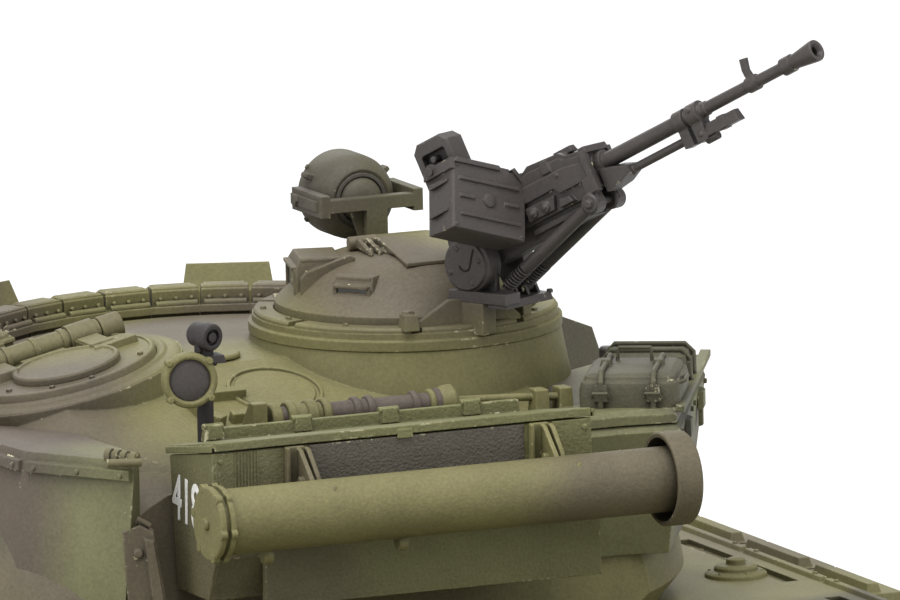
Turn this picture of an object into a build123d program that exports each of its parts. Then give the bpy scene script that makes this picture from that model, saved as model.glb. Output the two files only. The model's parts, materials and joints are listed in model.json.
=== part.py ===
from build123d import *
import os
from math import cos, radians, sin

# A 1:16 remote-control battle tank, as an assembly of its separate pieces.
# Millimetres. +Y is forwards, +X is the tank's right, +Z is up, and the origin is on the
# ground under the middle of the whole length, gun included.

os.makedirs("parts", exist_ok=True)

# ---- Driving dimensions: overall ----
overall_length = 596.0        # tail of the fenders to the muzzle
hull_length = 429.0
deck_z = 86.0                 # top of the hull
seam_z = 66.0                 # where the upper hull sits on the tub
belly_z = 29.0                # ground clearance
tub_half = 64.0               # half the width of the tub
fender_half = 107.0
skirt_half = 118.0            # half the width over the armour blocks
wall = 2.5                    # hull skin
turret_setback = 188.0        # turret axis behind the nose of the fenders

# ---- Fits ----
play = 0.05                   # radial play of a pin in its bore
clear = 0.3                   # gap between pieces that move past each other

# ---- Driving dimensions: running gear ----
track_mid = 87.0
track_width = 36.0
belt_thick = 3.5
link_count = 100
horn_height = 3.2
wheel_r = 23.2
wheel_count = 6
wheel_pitch = 53.4
disc_width = 10.5             # one tyre of a twin wheel
horn_gap = 5.0                # between the two discs of a twin wheel
idler_r = 17.0
sprocket_r = 18.9             # drum that carries the track
tooth_count = 14
tooth_height = 2.1
roller_r = 5.0
roller_z = 56.0
axle_pin_r = 3.0
arm_shaft_r = 2.5
arm_reach = 14.0              # arm pivot ahead of its wheel
arm_rise = 9.0                # arm pivot above its wheel
arm_thick = 4.5
arm_eye_r = 5.4

# ---- Driving dimensions: turret ----
ring_r = 57.5                 # spigot of the turret in the deck
ring_wall = 3.0
turret_base_z = 88.0
turret_r = 80.0
roof_z = 134.5
skin = 3.5                    # wall of the turret casting
bin_half = 36.5               # half the width of the rear bin
bin_rear = -76.0              # rear face of the bin, from the turret axis
bin_top = 128.0
bin_bottom = 102.0
lid_thick = 3.0
snorkel_r = 6.0
snorkel_y = -85.0
snorkel_z = 118.5
cupola_x = 31.0
cupola_y = -6.0               # from the turret axis
cupola_r = 27.6
cupola_z = 139.0              # top of the cupola ring
gun_z = 107.0
gun_pivot = 60.0              # trunnions ahead of the turret axis
barrel_r = 5.9

# ---- Driving dimensions: roof machine gun ----
mg_heading = 150.0            # degrees clockwise from forwards
mg_elevation = 26.8
mg_bore_height = 6.05         # bore above the elevation axis
mg_front = 30.9               # front of the receiver ahead of the elevation axis
mg_muzzle = 85.6
mg_rear = -5.0
mg_half = 3.6                 # half the width of the receiver

rear_y = -overall_length / 2
muzzle_y = overall_length / 2
front_y = rear_y + hull_length
turret_y = front_y - turret_setback
wheel_z = belt_thick + clear + wheel_r
wheel_ys = [front_y - 84.0 - wheel_pitch * n for n in range(wheel_count)]
idler_y = front_y - 32.0
idler_z = 42.0
sprocket_y = rear_y + 32.0
sprocket_z = 42.0
roller_ys = [(wheel_ys[n] + wheel_ys[n + 1]) / 2 for n in (0, 2, 4)]
track_in = track_mid - track_width / 2
track_out = track_mid + track_width / 2
sides = {"left": -1, "right": 1}


def block(xs, ys, zs, mode=Mode.ADD):
    """A box between two X, two Y and two Z values."""
    spans = [sorted(pair) for pair in (xs, ys, zs)]
    with Locations(tuple((low + high) / 2 for low, high in spans)):
        Box(*(high - low for low, high in spans), mode=mode)


def rod(radius, start, end, mode=Mode.ADD):
    """A cylinder between two points."""
    axis = Vector(*end) - Vector(*start)
    with Locations(Plane(origin=start, z_dir=axis)):
        bottom = (Align.CENTER, Align.CENTER, Align.MIN)
        Cylinder(radius, axis.length, align=bottom, mode=mode)


def save(piece, name):
    """Labels a finished piece and writes its STEP file."""
    piece.part.label = name
    export_step(piece.part, f"parts/{name}.step")


def on_turret(x, y, z):
    """A point given from the turret axis."""
    return (x, turret_y + y, z)


def on_span(low, high):
    """Two Y values given from the turret axis."""
    return (turret_y + low, turret_y + high)


def swap_sides(part):
    """The same piece on the other side of the tank."""
    return mirror(part, about=Plane.YZ)


# ---- Hull ----
tail_inset = 13.0
nose_z = 50.0
glacis_top = front_y - 69.0
hull_side = [
    (rear_y + tail_inset, deck_z),
    (rear_y + tail_inset, belly_z + 13.0),
    (rear_y + 2 * tail_inset, belly_z),
    (front_y - 43.0, belly_z),
    (front_y - 3.0, nose_z),
    (glacis_top, deck_z),
]
screw_x = 55.0
screw_ys = (front_y - 91.0, turret_y - 78.0, rear_y + 66.0)
screw_r = 1.3
post_r = 3.5
head_r = 2.9
head_height = 1.8
sponson_half = 105.0
sponson_ends = (rear_y + 28.0, front_y - 76.0)
deck_opening = (rear_y + 20.0, turret_y - 101.0)
deck_opening_half = 46.0
board_half_x = 33.0
board_ys = (front_y - 166.0, front_y - 92.0)
board_z = 36.0
board_foot_r = 2.5
sprocket_shaft_r = 4.0
roller_shaft_r = 1.5


def hull_shell():
    """The closed hollow hull, before it is parted at the seam."""
    with BuildPart() as shell:
        with BuildSketch(Plane.YZ):
            Polygon(*hull_side, align=None)
        extrude(amount=tub_half, both=True)
        with BuildSketch(Plane.YZ):
            Polygon(*hull_side, align=None)
            offset(amount=-wall, kind=Kind.INTERSECTION)
        extrude(amount=tub_half - wall, both=True, mode=Mode.SUBTRACT)
    return shell.part


def arm_pivot(y):
    return y + arm_reach, wheel_z + arm_rise


screw_spots = [(x, y) for x in (-screw_x, screw_x) for y in screw_ys]
board_spots = [(x, y) for x in (-board_half_x, board_half_x) for y in board_ys]

with BuildPart() as lower_hull:
    add(hull_shell())
    split(bisect_by=Plane.XY.offset(seam_z), keep=Keep.BOTTOM)
    for x, y in screw_spots:
        rod(post_r, (x, y, belly_z), (x, y, seam_z))
        rod(screw_r + play, (x, y, belly_z), (x, y, seam_z), Mode.SUBTRACT)
        rod(head_r + play, (x, y, belly_z), (x, y, belly_z + head_height + clear), Mode.SUBTRACT)
    for x, y in board_spots:
        rod(board_foot_r, (x, y, belly_z + wall / 2), (x, y, board_z))
    for y in wheel_ys:
        pivot_y, pivot_z = arm_pivot(y)
        for sign in sides.values():
            rod(arm_shaft_r + 3.0, (sign * (tub_half - 6.0), pivot_y, pivot_z),
                (sign * tub_half, pivot_y, pivot_z))
        rod(arm_shaft_r + play, (-tub_half, pivot_y, pivot_z), (tub_half, pivot_y, pivot_z),
            Mode.SUBTRACT)
    for y in roller_ys:
        rod(roller_shaft_r + play, (-tub_half, y, roller_z), (tub_half, y, roller_z), Mode.SUBTRACT)
    rod(sprocket_shaft_r + play, (-tub_half, sprocket_y, sprocket_z),
        (tub_half, sprocket_y, sprocket_z), Mode.SUBTRACT)
    for sign in sides.values():
        rod(9.0, (sign * (tub_half - wall), idler_y, idler_z), (sign * (tub_half + 4.0), idler_y, idler_z))
        rod(axle_pin_r, (sign * tub_half, idler_y, idler_z), (sign * 98.5, idler_y, idler_z))
        rod(axle_pin_r + 1.6, (sign * 98.5, idler_y, idler_z), (sign * 100.5, idler_y, idler_z))
save(lower_hull, "lower_hull")

filler_spots = [(90.8, turret_y - 15.7), (90.8, turret_y - 120.0), (90.8, turret_y + 66.0)]
slot_x = 97.0
slot_runs = ((31.0, 35.5), (-26.0, 22.5), (-92.0, -44.0), (-160.0, -108.0), (50.0, 92.0))
hatch_y = front_y - 88.0

with BuildPart() as upper_hull:
    add(hull_shell())
    split(bisect_by=Plane.XY.offset(seam_z), keep=Keep.TOP)
    for sign in sides.values():
        block((sign * (tub_half - wall), sign * fender_half), (rear_y, front_y), (seam_z, seam_z + 2))
        block((sign * (tub_half - wall), sign * sponson_half), sponson_ends, (seam_z, deck_z))
        block((sign * track_in, sign * fender_half), (front_y - 3, front_y), (seam_z - 9, seam_z))
        block((sign * track_in, sign * fender_half), (rear_y, rear_y + 3), (seam_z - 16, seam_z))
    inner_ends = (sponson_ends[0] + 2, sponson_ends[1] - 2)
    block((2 - sponson_half, sponson_half - 2), inner_ends, (seam_z + 2, deck_z - 2), Mode.SUBTRACT)
    outer_edges = upper_hull.edges().filter_by(Axis.Y).group_by(Axis.Z)[-1]
    chamfer(outer_edges.sort_by(Axis.X)[0], length=1.4)
    chamfer(upper_hull.edges().filter_by(Axis.Y).group_by(Axis.Z)[-1].sort_by(Axis.X)[-1], length=1.4)
    rod(ring_r + 0.5, (0, turret_y, deck_z - 6), (0, turret_y, deck_z + 1), Mode.SUBTRACT)
    block((-deck_opening_half, deck_opening_half), deck_opening, (deck_z - 6, deck_z + 1), Mode.SUBTRACT)
    for x, y in screw_spots:
        rod(post_r, (x, y, seam_z), (x, y, deck_z - 1))
        rod(screw_r + play, (x, y, seam_z), (x, y, deck_z - 4), Mode.SUBTRACT)
    for sign in sides.values():
        for low, high in slot_runs:
            block((sign * (slot_x - 1.6), sign * (slot_x + 1.6)),
                  (turret_y + low, turret_y + high), (deck_z - 1, deck_z + 1), Mode.SUBTRACT)
        for x, y in filler_spots:
            rod(5.2, (sign * x, y, deck_z - 1), (sign * x, y, deck_z + 0.7))
            rod(3.4, (sign * x, y, deck_z), (sign * x, y, deck_z + 1.6))
            rod(1.5, (sign * x, y, deck_z), (sign * x, y, deck_z + 2.6))
    rod(15.0, (0, hatch_y, deck_z - 1), (0, hatch_y, deck_z + 1.0))
    rod(12.6, (0, hatch_y, deck_z), (0, hatch_y, deck_z + 2.6))
    block((-8, 8), (hatch_y + 15.5, hatch_y + 20), (deck_z - 1, deck_z + 4))
save(upper_hull, "upper_hull")

# Rubber skirts hang under the fender edges, with armour boxes bolted over their front half.
skirt_x = (fender_half, fender_half + 1.5)
skirt_blocks = 7
skirt_block_pitch = 30.0
with BuildPart() as side_skirts:
    for sign in sides.values():
        block((sign * skirt_x[0], sign * skirt_x[1]), (rear_y + 14, front_y - 16), (46, seam_z + 2))
        for n in range(skirt_blocks):
            block_front = front_y - 10.0 - n * skirt_block_pitch
            block((sign * skirt_x[1], sign * skirt_half), (block_front - skirt_block_pitch + 1.2, block_front),
                  (52, 83))
            block((sign * (fender_half - 2), sign * skirt_x[1]),
                  (block_front - 20, block_front - 10), (seam_z + 2, 81))
    chamfer(side_skirts.edges().filter_by(Axis.Y).group_by(Axis.Z)[-1], length=1.0)
save(side_skirts, "side_skirts")

deck_cover_half = 58.0
deck_cover_ends = (deck_opening[0] - 4.0, deck_opening[1] + 6.0)
grille_count = 9
with BuildPart() as engine_deck:
    block((-deck_cover_half, deck_cover_half), deck_cover_ends, (deck_z, deck_z + 2))
    inner = deck_opening_half - clear
    block((-inner, inner), (deck_opening[0] + clear, deck_opening[1] - clear), (deck_z - 2, deck_z))
    block((-inner + 2, inner - 2), (deck_opening[0] + 2, deck_opening[1] - 2), (deck_z - 3, deck_z - 0.5),
          Mode.SUBTRACT)
    for n in range(grille_count):
        slat_y = deck_opening[0] + 8 + n * 4.6
        for sign in sides.values():
            block((sign * 6, sign * 40), (slat_y, slat_y + 2.4), (deck_z - 1, deck_z + 3), Mode.SUBTRACT)
    for sign in sides.values():
        block((sign * 8, sign * 42), (deck_opening[0] + 60, deck_opening[1] - 16), (deck_z + 2, deck_z + 3.4))
        for bolt_y in (deck_cover_ends[0] + 4, deck_cover_ends[1] - 4):
            rod(1.4, (sign * 52, bolt_y, deck_z + 2), (sign * 52, bolt_y, deck_z + 2.9))
save(engine_deck, "engine_deck")

with BuildPart() as hull_screws:
    for x, y in screw_spots:
        rod(head_r, (x, y, belly_z + clear), (x, y, belly_z + head_height + clear))
        rod(screw_r, (x, y, belly_z + head_height + clear), (x, y, deck_z - 5))
save(hull_screws, "hull_screws")

# ---- Inside the hull ----
floor_z = belly_z + wall
motor_r = 11.0
with BuildPart() as drive_gearboxes:
    for sign in sides.values():
        box_outer = sign * (tub_half - wall - clear)
        block((sign * 22, box_outer), (sprocket_y - 10, sprocket_y + 26), (sprocket_z - 4.5, sprocket_z + 19))
        block((sign * 22, box_outer), (sprocket_y + 4, sprocket_y + 26), (floor_z, sprocket_z))
        rod(motor_r, (sign * 33, sprocket_y + 26, floor_z + motor_r + 0.5),
            (sign * 33, sprocket_y + 56, floor_z + motor_r + 0.5))
        rod(sprocket_shaft_r + play, (sign * 50, sprocket_y, sprocket_z), (box_outer, sprocket_y, sprocket_z),
            Mode.SUBTRACT)
save(drive_gearboxes, "drive_gearboxes")

battery_ys = (rear_y + 118.0, rear_y + 253.0)
with BuildPart() as battery_pack:
    block((-23, 23), battery_ys, (floor_z, floor_z + 22.5))
    fillet(battery_pack.edges().filter_by(Axis.Y), radius=5.0)
    block((-6, 6), (battery_ys[1], battery_ys[1] + 4), (floor_z + 8, floor_z + 14))
save(battery_pack, "battery_pack")

with BuildPart() as control_board:
    block((-board_half_x - 4, board_half_x + 4), (board_ys[0] - 4, board_ys[1] + 4), (board_z, board_z + 1.6))
    for x, y in ((-18, 12), (8, 12), (-20, 44), (14, 46)):
        block((x, x + 14), (board_ys[0] + y, board_ys[0] + y + 12), (board_z + 1.6, board_z + 6))
    for x in (-24, -12, 0, 12, 24):
        rod(2.2, (x, board_ys[0] + 4, board_z + 1.6), (x, board_ys[0] + 4, board_z + 10))
save(control_board, "control_board")

speaker_y = board_ys[1] + 30.0
with BuildPart() as speaker:
    rod(18.0, (0, speaker_y, floor_z), (0, speaker_y, floor_z + 4))
    rod(12.0, (0, speaker_y, floor_z + 4), (0, speaker_y, floor_z + 11))
save(speaker, "speaker")

# The turret motor hangs from the deck, with its pinion against the turret ring.
pinion_r = 8.0
pinion_angle = radians(60)
pinion_x = (ring_r + pinion_r + clear) * cos(pinion_angle)
pinion_y = turret_y + (ring_r + pinion_r + clear) * sin(pinion_angle)
with BuildPart() as turret_drive:
    rod(11.0, (pinion_x, pinion_y, seam_z - 6), (pinion_x, pinion_y, seam_z + 11))
    rod(1.5, (pinion_x, pinion_y, seam_z + 11), (pinion_x, pinion_y, deck_z - 7.5))
    rod(pinion_r, (pinion_x, pinion_y, deck_z - 7.5), (pinion_x, pinion_y, deck_z - 3))
    block((pinion_x - 6, pinion_x + 6), (pinion_y + 9, pinion_y + 24), (seam_z + 4, deck_z - 2))
save(turret_drive, "turret_drive")

# ---- Running gear ----
hub_r = 8.0
inner_disc = (track_mid - horn_gap / 2 - disc_width, track_mid - horn_gap / 2)
outer_disc = (track_mid + horn_gap / 2, track_mid + horn_gap / 2 + disc_width)
hub_ends = (inner_disc[0] - 2.0, outer_disc[1] + 0.7)


def twin_wheel(radius, tyre, y, z, sign):
    """Two dished discs on one hub, bored for its pin. tyre is the depth of the rim."""
    profile = [
        (hub_ends[0], hub_r), (inner_disc[0] + 3, hub_r), (inner_disc[0] + 3, radius - tyre),
        (inner_disc[0], radius - tyre), (inner_disc[0], radius), (inner_disc[1], radius),
        (inner_disc[1], radius - tyre), (inner_disc[1] - 3, radius - tyre), (inner_disc[1] - 3, hub_r),
        (outer_disc[0] + 1.5, hub_r), (outer_disc[0] + 1.5, radius - tyre), (outer_disc[0], radius - tyre),
        (outer_disc[0], radius), (outer_disc[1], radius), (outer_disc[1], radius - tyre),
        (outer_disc[1] - 4, radius - tyre), (outer_disc[1] - 2, hub_r), (hub_ends[1], hub_r - 1),
        (hub_ends[1], axle_pin_r + play), (hub_ends[0], axle_pin_r + play),
    ]
    face_plane = Plane(origin=(0, y, z), x_dir=(1, 0, 0), z_dir=(0, -1, 0))
    with BuildPart() as wheel:
        with BuildSketch(face_plane):
            Polygon(*[(sign * x, r) for x, r in profile], align=None)
        revolve(axis=Axis((0, y, z), (1, 0, 0)))
    return wheel.part


arm_in = tub_half + 0.5
arm_out = arm_in + arm_thick
for side, sign in sides.items():
    for n, y in enumerate(wheel_ys):
        pivot_y, pivot_z = arm_pivot(y)
        with BuildPart() as road_wheel:
            add(twin_wheel(wheel_r, 5.0, y, wheel_z, sign))
        save(road_wheel, f"road_wheel_{side}_{n + 1}")
        with BuildPart() as swing_arm:
            with BuildSketch(Plane.YZ.offset(sign * arm_in)):
                with Locations((y, wheel_z), (pivot_y, pivot_z)):
                    Circle(arm_eye_r)
                make_hull()
            extrude(amount=sign * arm_thick)
            rod(arm_shaft_r, (sign * (tub_half - 9), pivot_y, pivot_z), (sign * arm_in, pivot_y, pivot_z))
            rod(arm_shaft_r + 2, (sign * (tub_half - 9), pivot_y, pivot_z),
                (sign * (tub_half - 6 - clear), pivot_y, pivot_z))
            rod(axle_pin_r, (sign * arm_out, y, wheel_z), (sign * (hub_ends[1] + clear), y, wheel_z))
            rod(axle_pin_r + 2.0, (sign * (hub_ends[1] + clear), y, wheel_z),
                (sign * (hub_ends[1] + 2.4), y, wheel_z))
        save(swing_arm, f"swing_arm_{side}_{n + 1}")

tooth_rings = ((track_in + 2.2, track_in + 4.7), (track_out - 4.7, track_out - 2.2))
for side, sign in sides.items():
    with BuildPart() as sprocket:
        for low, high in tooth_rings:
            rod(sprocket_r, (sign * low, sprocket_y, sprocket_z), (sign * high, sprocket_y, sprocket_z))
            for n in range(tooth_count):
                turn = 360 / tooth_count * n
                reach = Vector(0, cos(radians(turn)), sin(radians(turn)))
                root = Vector(sign * (low + high) / 2, sprocket_y, sprocket_z) + reach * (sprocket_r - 1)
                with Locations(Plane(origin=root, x_dir=(1, 0, 0), z_dir=reach)):
                    Box(high - low, 3.0, tooth_height + 1, align=(Align.CENTER, Align.CENTER, Align.MIN))
        rod(14.0, (sign * tooth_rings[0][0], sprocket_y, sprocket_z),
            (sign * (tooth_rings[1][1]), sprocket_y, sprocket_z))
        rod(9.0, (sign * tooth_rings[1][0], sprocket_y, sprocket_z), (sign * track_out, sprocket_y, sprocket_z))
        rod(7.0, (sign * (tub_half + clear), sprocket_y, sprocket_z),
            (sign * tooth_rings[0][0], sprocket_y, sprocket_z))
        rod(sprocket_shaft_r, (sign * 51, sprocket_y, sprocket_z),
            (sign * (tub_half + clear), sprocket_y, sprocket_z))
    save(sprocket, f"drive_sprocket_{side}")

idler_hub = (tub_half + 4.0 + clear, 98.5 - clear)
for side, sign in sides.items():
    with BuildPart() as idler:
        for low, high in ((inner_disc[0] + 2, inner_disc[1]), (outer_disc[0], outer_disc[1] - 2)):
            rod(idler_r, (sign * low, idler_y, idler_z), (sign * high, idler_y, idler_z))
        rod(7.0, (sign * idler_hub[0], idler_y, idler_z), (sign * idler_hub[1], idler_y, idler_z))
        for turn in range(0, 360, 60):
            spot_y = idler_y + 12 * cos(radians(turn))
            spot_z = idler_z + 12 * sin(radians(turn))
            rod(2.6, (sign * 60, spot_y, spot_z), (sign * 110, spot_y, spot_z), Mode.SUBTRACT)
        rod(axle_pin_r + play, (sign * 60, idler_y, idler_z), (sign * 110, idler_y, idler_z), Mode.SUBTRACT)
    save(idler, f"idler_{side}")

for n, y in enumerate(roller_ys):
    with BuildPart() as roller:
        rod(roller_shaft_r, (-94, y, roller_z), (94, y, roller_z))
        for sign in sides.values():
            for low, high in ((inner_disc[0] + 4, inner_disc[1]), (outer_disc[0], outer_disc[0] + 5)):
                rod(roller_r, (sign * low, y, roller_z), (sign * high, y, roller_z))
    save(roller, f"return_roller_{n + 1}")

# The belt runs round the wheels as a taut loop, grooved between its links.
def belt_loop(grow):
    """The outline round all the wheels of one side, this far outside them."""
    with BuildSketch(Plane.YZ) as loop:
        for y in wheel_ys:
            with Locations((y, wheel_z)):
                Circle(wheel_r + grow)
        for y in roller_ys:
            with Locations((y, roller_z)):
                Circle(roller_r + grow)
        with Locations((idler_y, idler_z)):
            Circle(idler_r + grow)
        with Locations((sprocket_y, sprocket_z)):
            Circle(sprocket_r + grow)
        make_hull()
    return loop.sketch.faces()[0]


def belt_slice(grow, low, high):
    """The solid inside that outline, between two X values of one side."""
    return extrude(belt_loop(grow).moved(Location((low, 0, 0))), amount=high - low, dir=(1, 0, 0))


def link_planes(grow, sink, inwards):
    """A plane at each link of the right track's outline, sunk in the belt, z out of the belt."""
    wire = belt_loop(grow).outer_wire()
    planes = []
    middle = Vector(0, (idler_y + sprocket_y) / 2, idler_z)
    for n in range(link_count):
        spot = wire @ (n / link_count)
        along = wire % (n / link_count)
        normal = Vector(0, -along.Z, along.Y)
        if (normal.dot(middle - spot) > 0) != inwards:
            normal = normal * -1
        spot = spot + (track_mid, 0, 0) - normal * sink
        planes.append(Plane(origin=spot, x_dir=(1, 0, 0), z_dir=normal))
    return planes


on_face = (Align.CENTER, Align.CENTER, Align.MIN)
with BuildPart() as right_track:
    add(belt_slice(clear + belt_thick, track_in, track_out))
    add(belt_slice(clear, track_in - 1, track_out + 1), mode=Mode.SUBTRACT)
    for low, high in tooth_rings:
        add(belt_slice(2 * clear + tooth_height, low - clear, high + clear), mode=Mode.SUBTRACT)
    with Locations(*link_planes(clear, 0.5, True)):
        Box(3.6, 3.0, horn_height + 0.5, align=on_face)
    with Locations(*link_planes(clear + belt_thick, 1.0, False)):
        Box(track_width + 2, 0.9, 2.0, align=on_face, mode=Mode.SUBTRACT)
save(right_track, "track_right")
with BuildPart() as left_track:
    add(swap_sides(right_track.part))
save(left_track, "track_left")

# ---- Turret ----
rear_cut_low = -59.0          # back of the casting at its base, from the turret axis
rear_cut_high = -52.0         # the same at the roof
hatch_x = -36.0               # gunner's hatch, from the turret axis
hatch_back = -4.0
hatch_z = 131.5
hatch_tilt = 12.0             # the hatch ring leans to the left with the roof
hatch_ring_r = 23.0
hatch_bore_r = 16.0
cone_low_r = 37.0
cone_high_r = 28.0
cone_top = cupola_z - 3.3
cupola_bore_r = 20.0
hatch_sill = 0.8               # top of the hatch ring above its middle plane
hinge_back = 9.0              # hatch hinge ahead of the ring's centre
hatch_hinge_z = hatch_sill + 3.2
hinge_eye_r = 2.0
hinge_pin_r = 1.0
hatch_knuckles = ((-17.0, -13.0), (13.0, 17.0))
port_half = 12.6
trunnion_r = 2.5
trunnion_eye = (13.0, 18.0)
turret_axis = Axis((0, turret_y, 0), (0, 0, 1))
turret_section = Plane(origin=(0, turret_y, 0), x_dir=(1, 0, 0), z_dir=(0, -1, 0))
rear_cut = Plane(
    origin=on_turret(0, rear_cut_low, turret_base_z),
    x_dir=(1, 0, 0),
    z_dir=(0, roof_z - turret_base_z, rear_cut_low - rear_cut_high),
)
slope_start = -12.0           # where the roof starts to fall away to the back
slope = radians(18.0)
rear_slope = Plane(origin=on_turret(0, slope_start, roof_z), x_dir=(1, 0, 0), z_dir=(0, -sin(slope), cos(slope)))
above_behind = (Align.CENTER, Align.MAX, Align.MIN)
lean = radians(hatch_tilt)
hatch_plane = Plane(
    origin=on_turret(hatch_x, hatch_back, hatch_z), x_dir=(cos(lean), 0, sin(lean)), z_dir=(-sin(lean), 0, cos(lean))
)


def casting(grow):
    """The outside of the turret casting and its cupola cone, grown by a clearance."""
    r, top = turret_r + grow, roof_z + grow
    with BuildPart() as form:
        with BuildSketch(turret_section):
            with BuildLine():
                Polyline((0, top), (0, turret_base_z), (r - 4, turret_base_z), (r, turret_base_z + 5))
                ThreePointArc((r, turret_base_z + 5), (r - 5, turret_base_z + 20), (r - 20, turret_base_z + 33.5))
                ThreePointArc((r - 20, turret_base_z + 33.5), (r - 27, turret_base_z + 40.5), (r - 36, top - 2.2))
                Line((r - 36, top - 2.2), (0, top))
            make_face()
        revolve(axis=turret_axis)
        with Locations(rear_slope.offset(grow)):
            Box(4 * turret_r, 2 * turret_r, turret_r, align=above_behind, mode=Mode.SUBTRACT)
        with Locations(on_turret(cupola_x, cupola_y, turret_base_z)):
            Cone(cone_low_r + grow, cone_high_r + grow, cone_top - turret_base_z, align=on_face)
    return form.part


inner_r = turret_r - skin
with BuildPart() as cavity:
    with BuildSketch(turret_section):
        Polygon((0, roof_z - skin), (0, turret_base_z - 1), (ring_r - ring_wall, turret_base_z - 1),
                (ring_r - ring_wall, turret_base_z + 3), (inner_r - 4, turret_base_z + 3),
                (inner_r - 5, turret_base_z + 18), (inner_r - 22, turret_base_z + 31),
                (inner_r - 38, roof_z - skin - 2.2), align=None)
    revolve(axis=turret_axis)
    with Locations(rear_slope.offset(-skin)):
        Box(4 * turret_r, 2 * turret_r, turret_r, align=above_behind, mode=Mode.SUBTRACT)
    split(bisect_by=rear_cut.offset(skin), keep=Keep.TOP)

with BuildPart() as turret_shell:
    add(casting(0))
    split(bisect_by=rear_cut, keep=Keep.TOP)
    with Locations(hatch_plane.offset(-12)):
        Cylinder(hatch_ring_r, 12.8, align=on_face)
    add(cavity.part, mode=Mode.SUBTRACT)
    for sign in sides.values():
        block((sign * trunnion_eye[0], sign * trunnion_eye[1]), on_span(gun_pivot - 8, gun_pivot + 7),
              (gun_z - 9, gun_z + 7))
    rod(trunnion_r + play, on_turret(-40, gun_pivot, gun_z), on_turret(40, gun_pivot, gun_z), Mode.SUBTRACT)
    block((-port_half, port_half), on_span(gun_pivot - 12, turret_r + 10), (gun_z - 12, gun_z + 12),
          Mode.SUBTRACT)
    rod(ring_r, on_turret(0, 0, deck_z - 8), on_turret(0, 0, turret_base_z + 1))
    rod(ring_r - ring_wall, on_turret(0, 0, deck_z - 9), on_turret(0, 0, turret_base_z + 3), Mode.SUBTRACT)
    rod(cupola_bore_r + clear, on_turret(cupola_x, cupola_y, roof_z - 12),
        on_turret(cupola_x, cupola_y, cupola_z), Mode.SUBTRACT)
    with Locations(hatch_plane.offset(-14)):
        Cylinder(hatch_bore_r, 20, align=on_face, mode=Mode.SUBTRACT)
    with Locations(hatch_plane.offset(hatch_sill)):
        Cylinder(hatch_ring_r, 12, align=on_face, mode=Mode.SUBTRACT)
    for low, high in hatch_knuckles:
        with Locations(hatch_plane):
            with Locations(((low + high) / 2, hinge_back, 0)):
                Box(high - low, 2 * hinge_eye_r, hatch_hinge_z, align=on_face)
            with Locations(((low + high) / 2, hinge_back, hatch_hinge_z)):
                Cylinder(hinge_eye_r, high - low, rotation=(0, 90, 0))
    with Locations(hatch_plane):
        with Locations((0, hinge_back, hatch_hinge_z)):
            Cylinder(hinge_pin_r + play, 40, rotation=(0, 90, 0), mode=Mode.SUBTRACT)
        with Locations((-9, hinge_back + 8, 2)):
            Box(14, 8, 10)
save(turret_shell, "turret_shell")

# The rear bin hangs on the back flat. Its lid is hinged along the front edge.
bin_skin = 1.8
lid_axis_y = -54.6            # from the turret axis
lid_axis_z = bin_top + lid_thick - 0.2
knuckle_r = 1.3
lid_pin_r = 0.7
bin_knuckles = (-23.4, -7.1, 8.8, 24.3)
knuckle_half = 2.2


def cut_line(z, gap):
    """Y of the back flat at a height, less a gap."""
    share = (z - turret_base_z) / (roof_z - turret_base_z)
    return rear_cut_low + share * (rear_cut_high - rear_cut_low) - gap


with BuildPart() as rear_bin:
    with BuildSketch(Plane.YZ):
        Polygon((turret_y + bin_rear, bin_bottom), (turret_y + cut_line(bin_bottom, 0.1), bin_bottom),
                (turret_y + cut_line(bin_top, 0.1), bin_top), (turret_y + bin_rear, bin_top), align=None)
    extrude(amount=bin_half, both=True)
    fillet(rear_bin.edges().filter_by(Axis.Z), radius=1.2)
    with BuildSketch(Plane.YZ):
        Polygon((turret_y + bin_rear + bin_skin, bin_bottom + bin_skin),
                (turret_y + cut_line(bin_bottom, bin_skin), bin_bottom + bin_skin),
                (turret_y + cut_line(bin_top, bin_skin), bin_top + 1),
                (turret_y + bin_rear + bin_skin, bin_top + 1), align=None)
    extrude(amount=bin_half - bin_skin, both=True, mode=Mode.SUBTRACT)
    block((-26, bin_half + 1), on_span(bin_rear - 1, bin_rear + 1), (bin_bottom, bin_bottom + 11))
    for x in bin_knuckles:
        block((x - knuckle_half, x + knuckle_half), on_span(lid_axis_y - 1.0, lid_axis_y + 0.9),
              (bin_top - 3, lid_axis_z))
        rod(knuckle_r, on_turret(x - knuckle_half, lid_axis_y, lid_axis_z),
            on_turret(x + knuckle_half, lid_axis_y, lid_axis_z))
    rod(lid_pin_r + play, on_turret(-bin_half, lid_axis_y, lid_axis_z),
        on_turret(bin_half, lid_axis_y, lid_axis_z), Mode.SUBTRACT)
save(rear_bin, "rear_bin")

lid_front = lid_axis_y - 1.2
with BuildPart() as rear_bin_lid:
    block((-bin_half, bin_half), on_span(bin_rear - 0.6, lid_front), (bin_top + clear, bin_top + lid_thick))
    fillet(rear_bin_lid.edges().filter_by(Axis.Z), radius=1.2)
    chamfer(rear_bin_lid.faces().sort_by(Axis.Z)[-1].edges(), length=0.5)
    rod(lid_pin_r, on_turret(bin_knuckles[0] - knuckle_half, lid_axis_y, lid_axis_z),
        on_turret(bin_knuckles[-1] + knuckle_half, lid_axis_y, lid_axis_z))
    for low, high in zip(bin_knuckles, bin_knuckles[1:]):
        ends = (low + knuckle_half + clear, high - knuckle_half - clear)
        rod(knuckle_r, on_turret(ends[0], lid_axis_y, lid_axis_z), on_turret(ends[1], lid_axis_y, lid_axis_z))
        block(ends, on_span(lid_front - 1, lid_axis_y), (bin_top + lid_thick - 1, lid_axis_z + 0.4))
    for x in bin_knuckles:
        block((x - knuckle_half - clear, x + knuckle_half + clear), on_span(lid_axis_y - 2.2, lid_axis_y - 1.0),
              (bin_top - 1, lid_axis_z), Mode.SUBTRACT)
save(rear_bin_lid, "rear_bin_lid")

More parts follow.
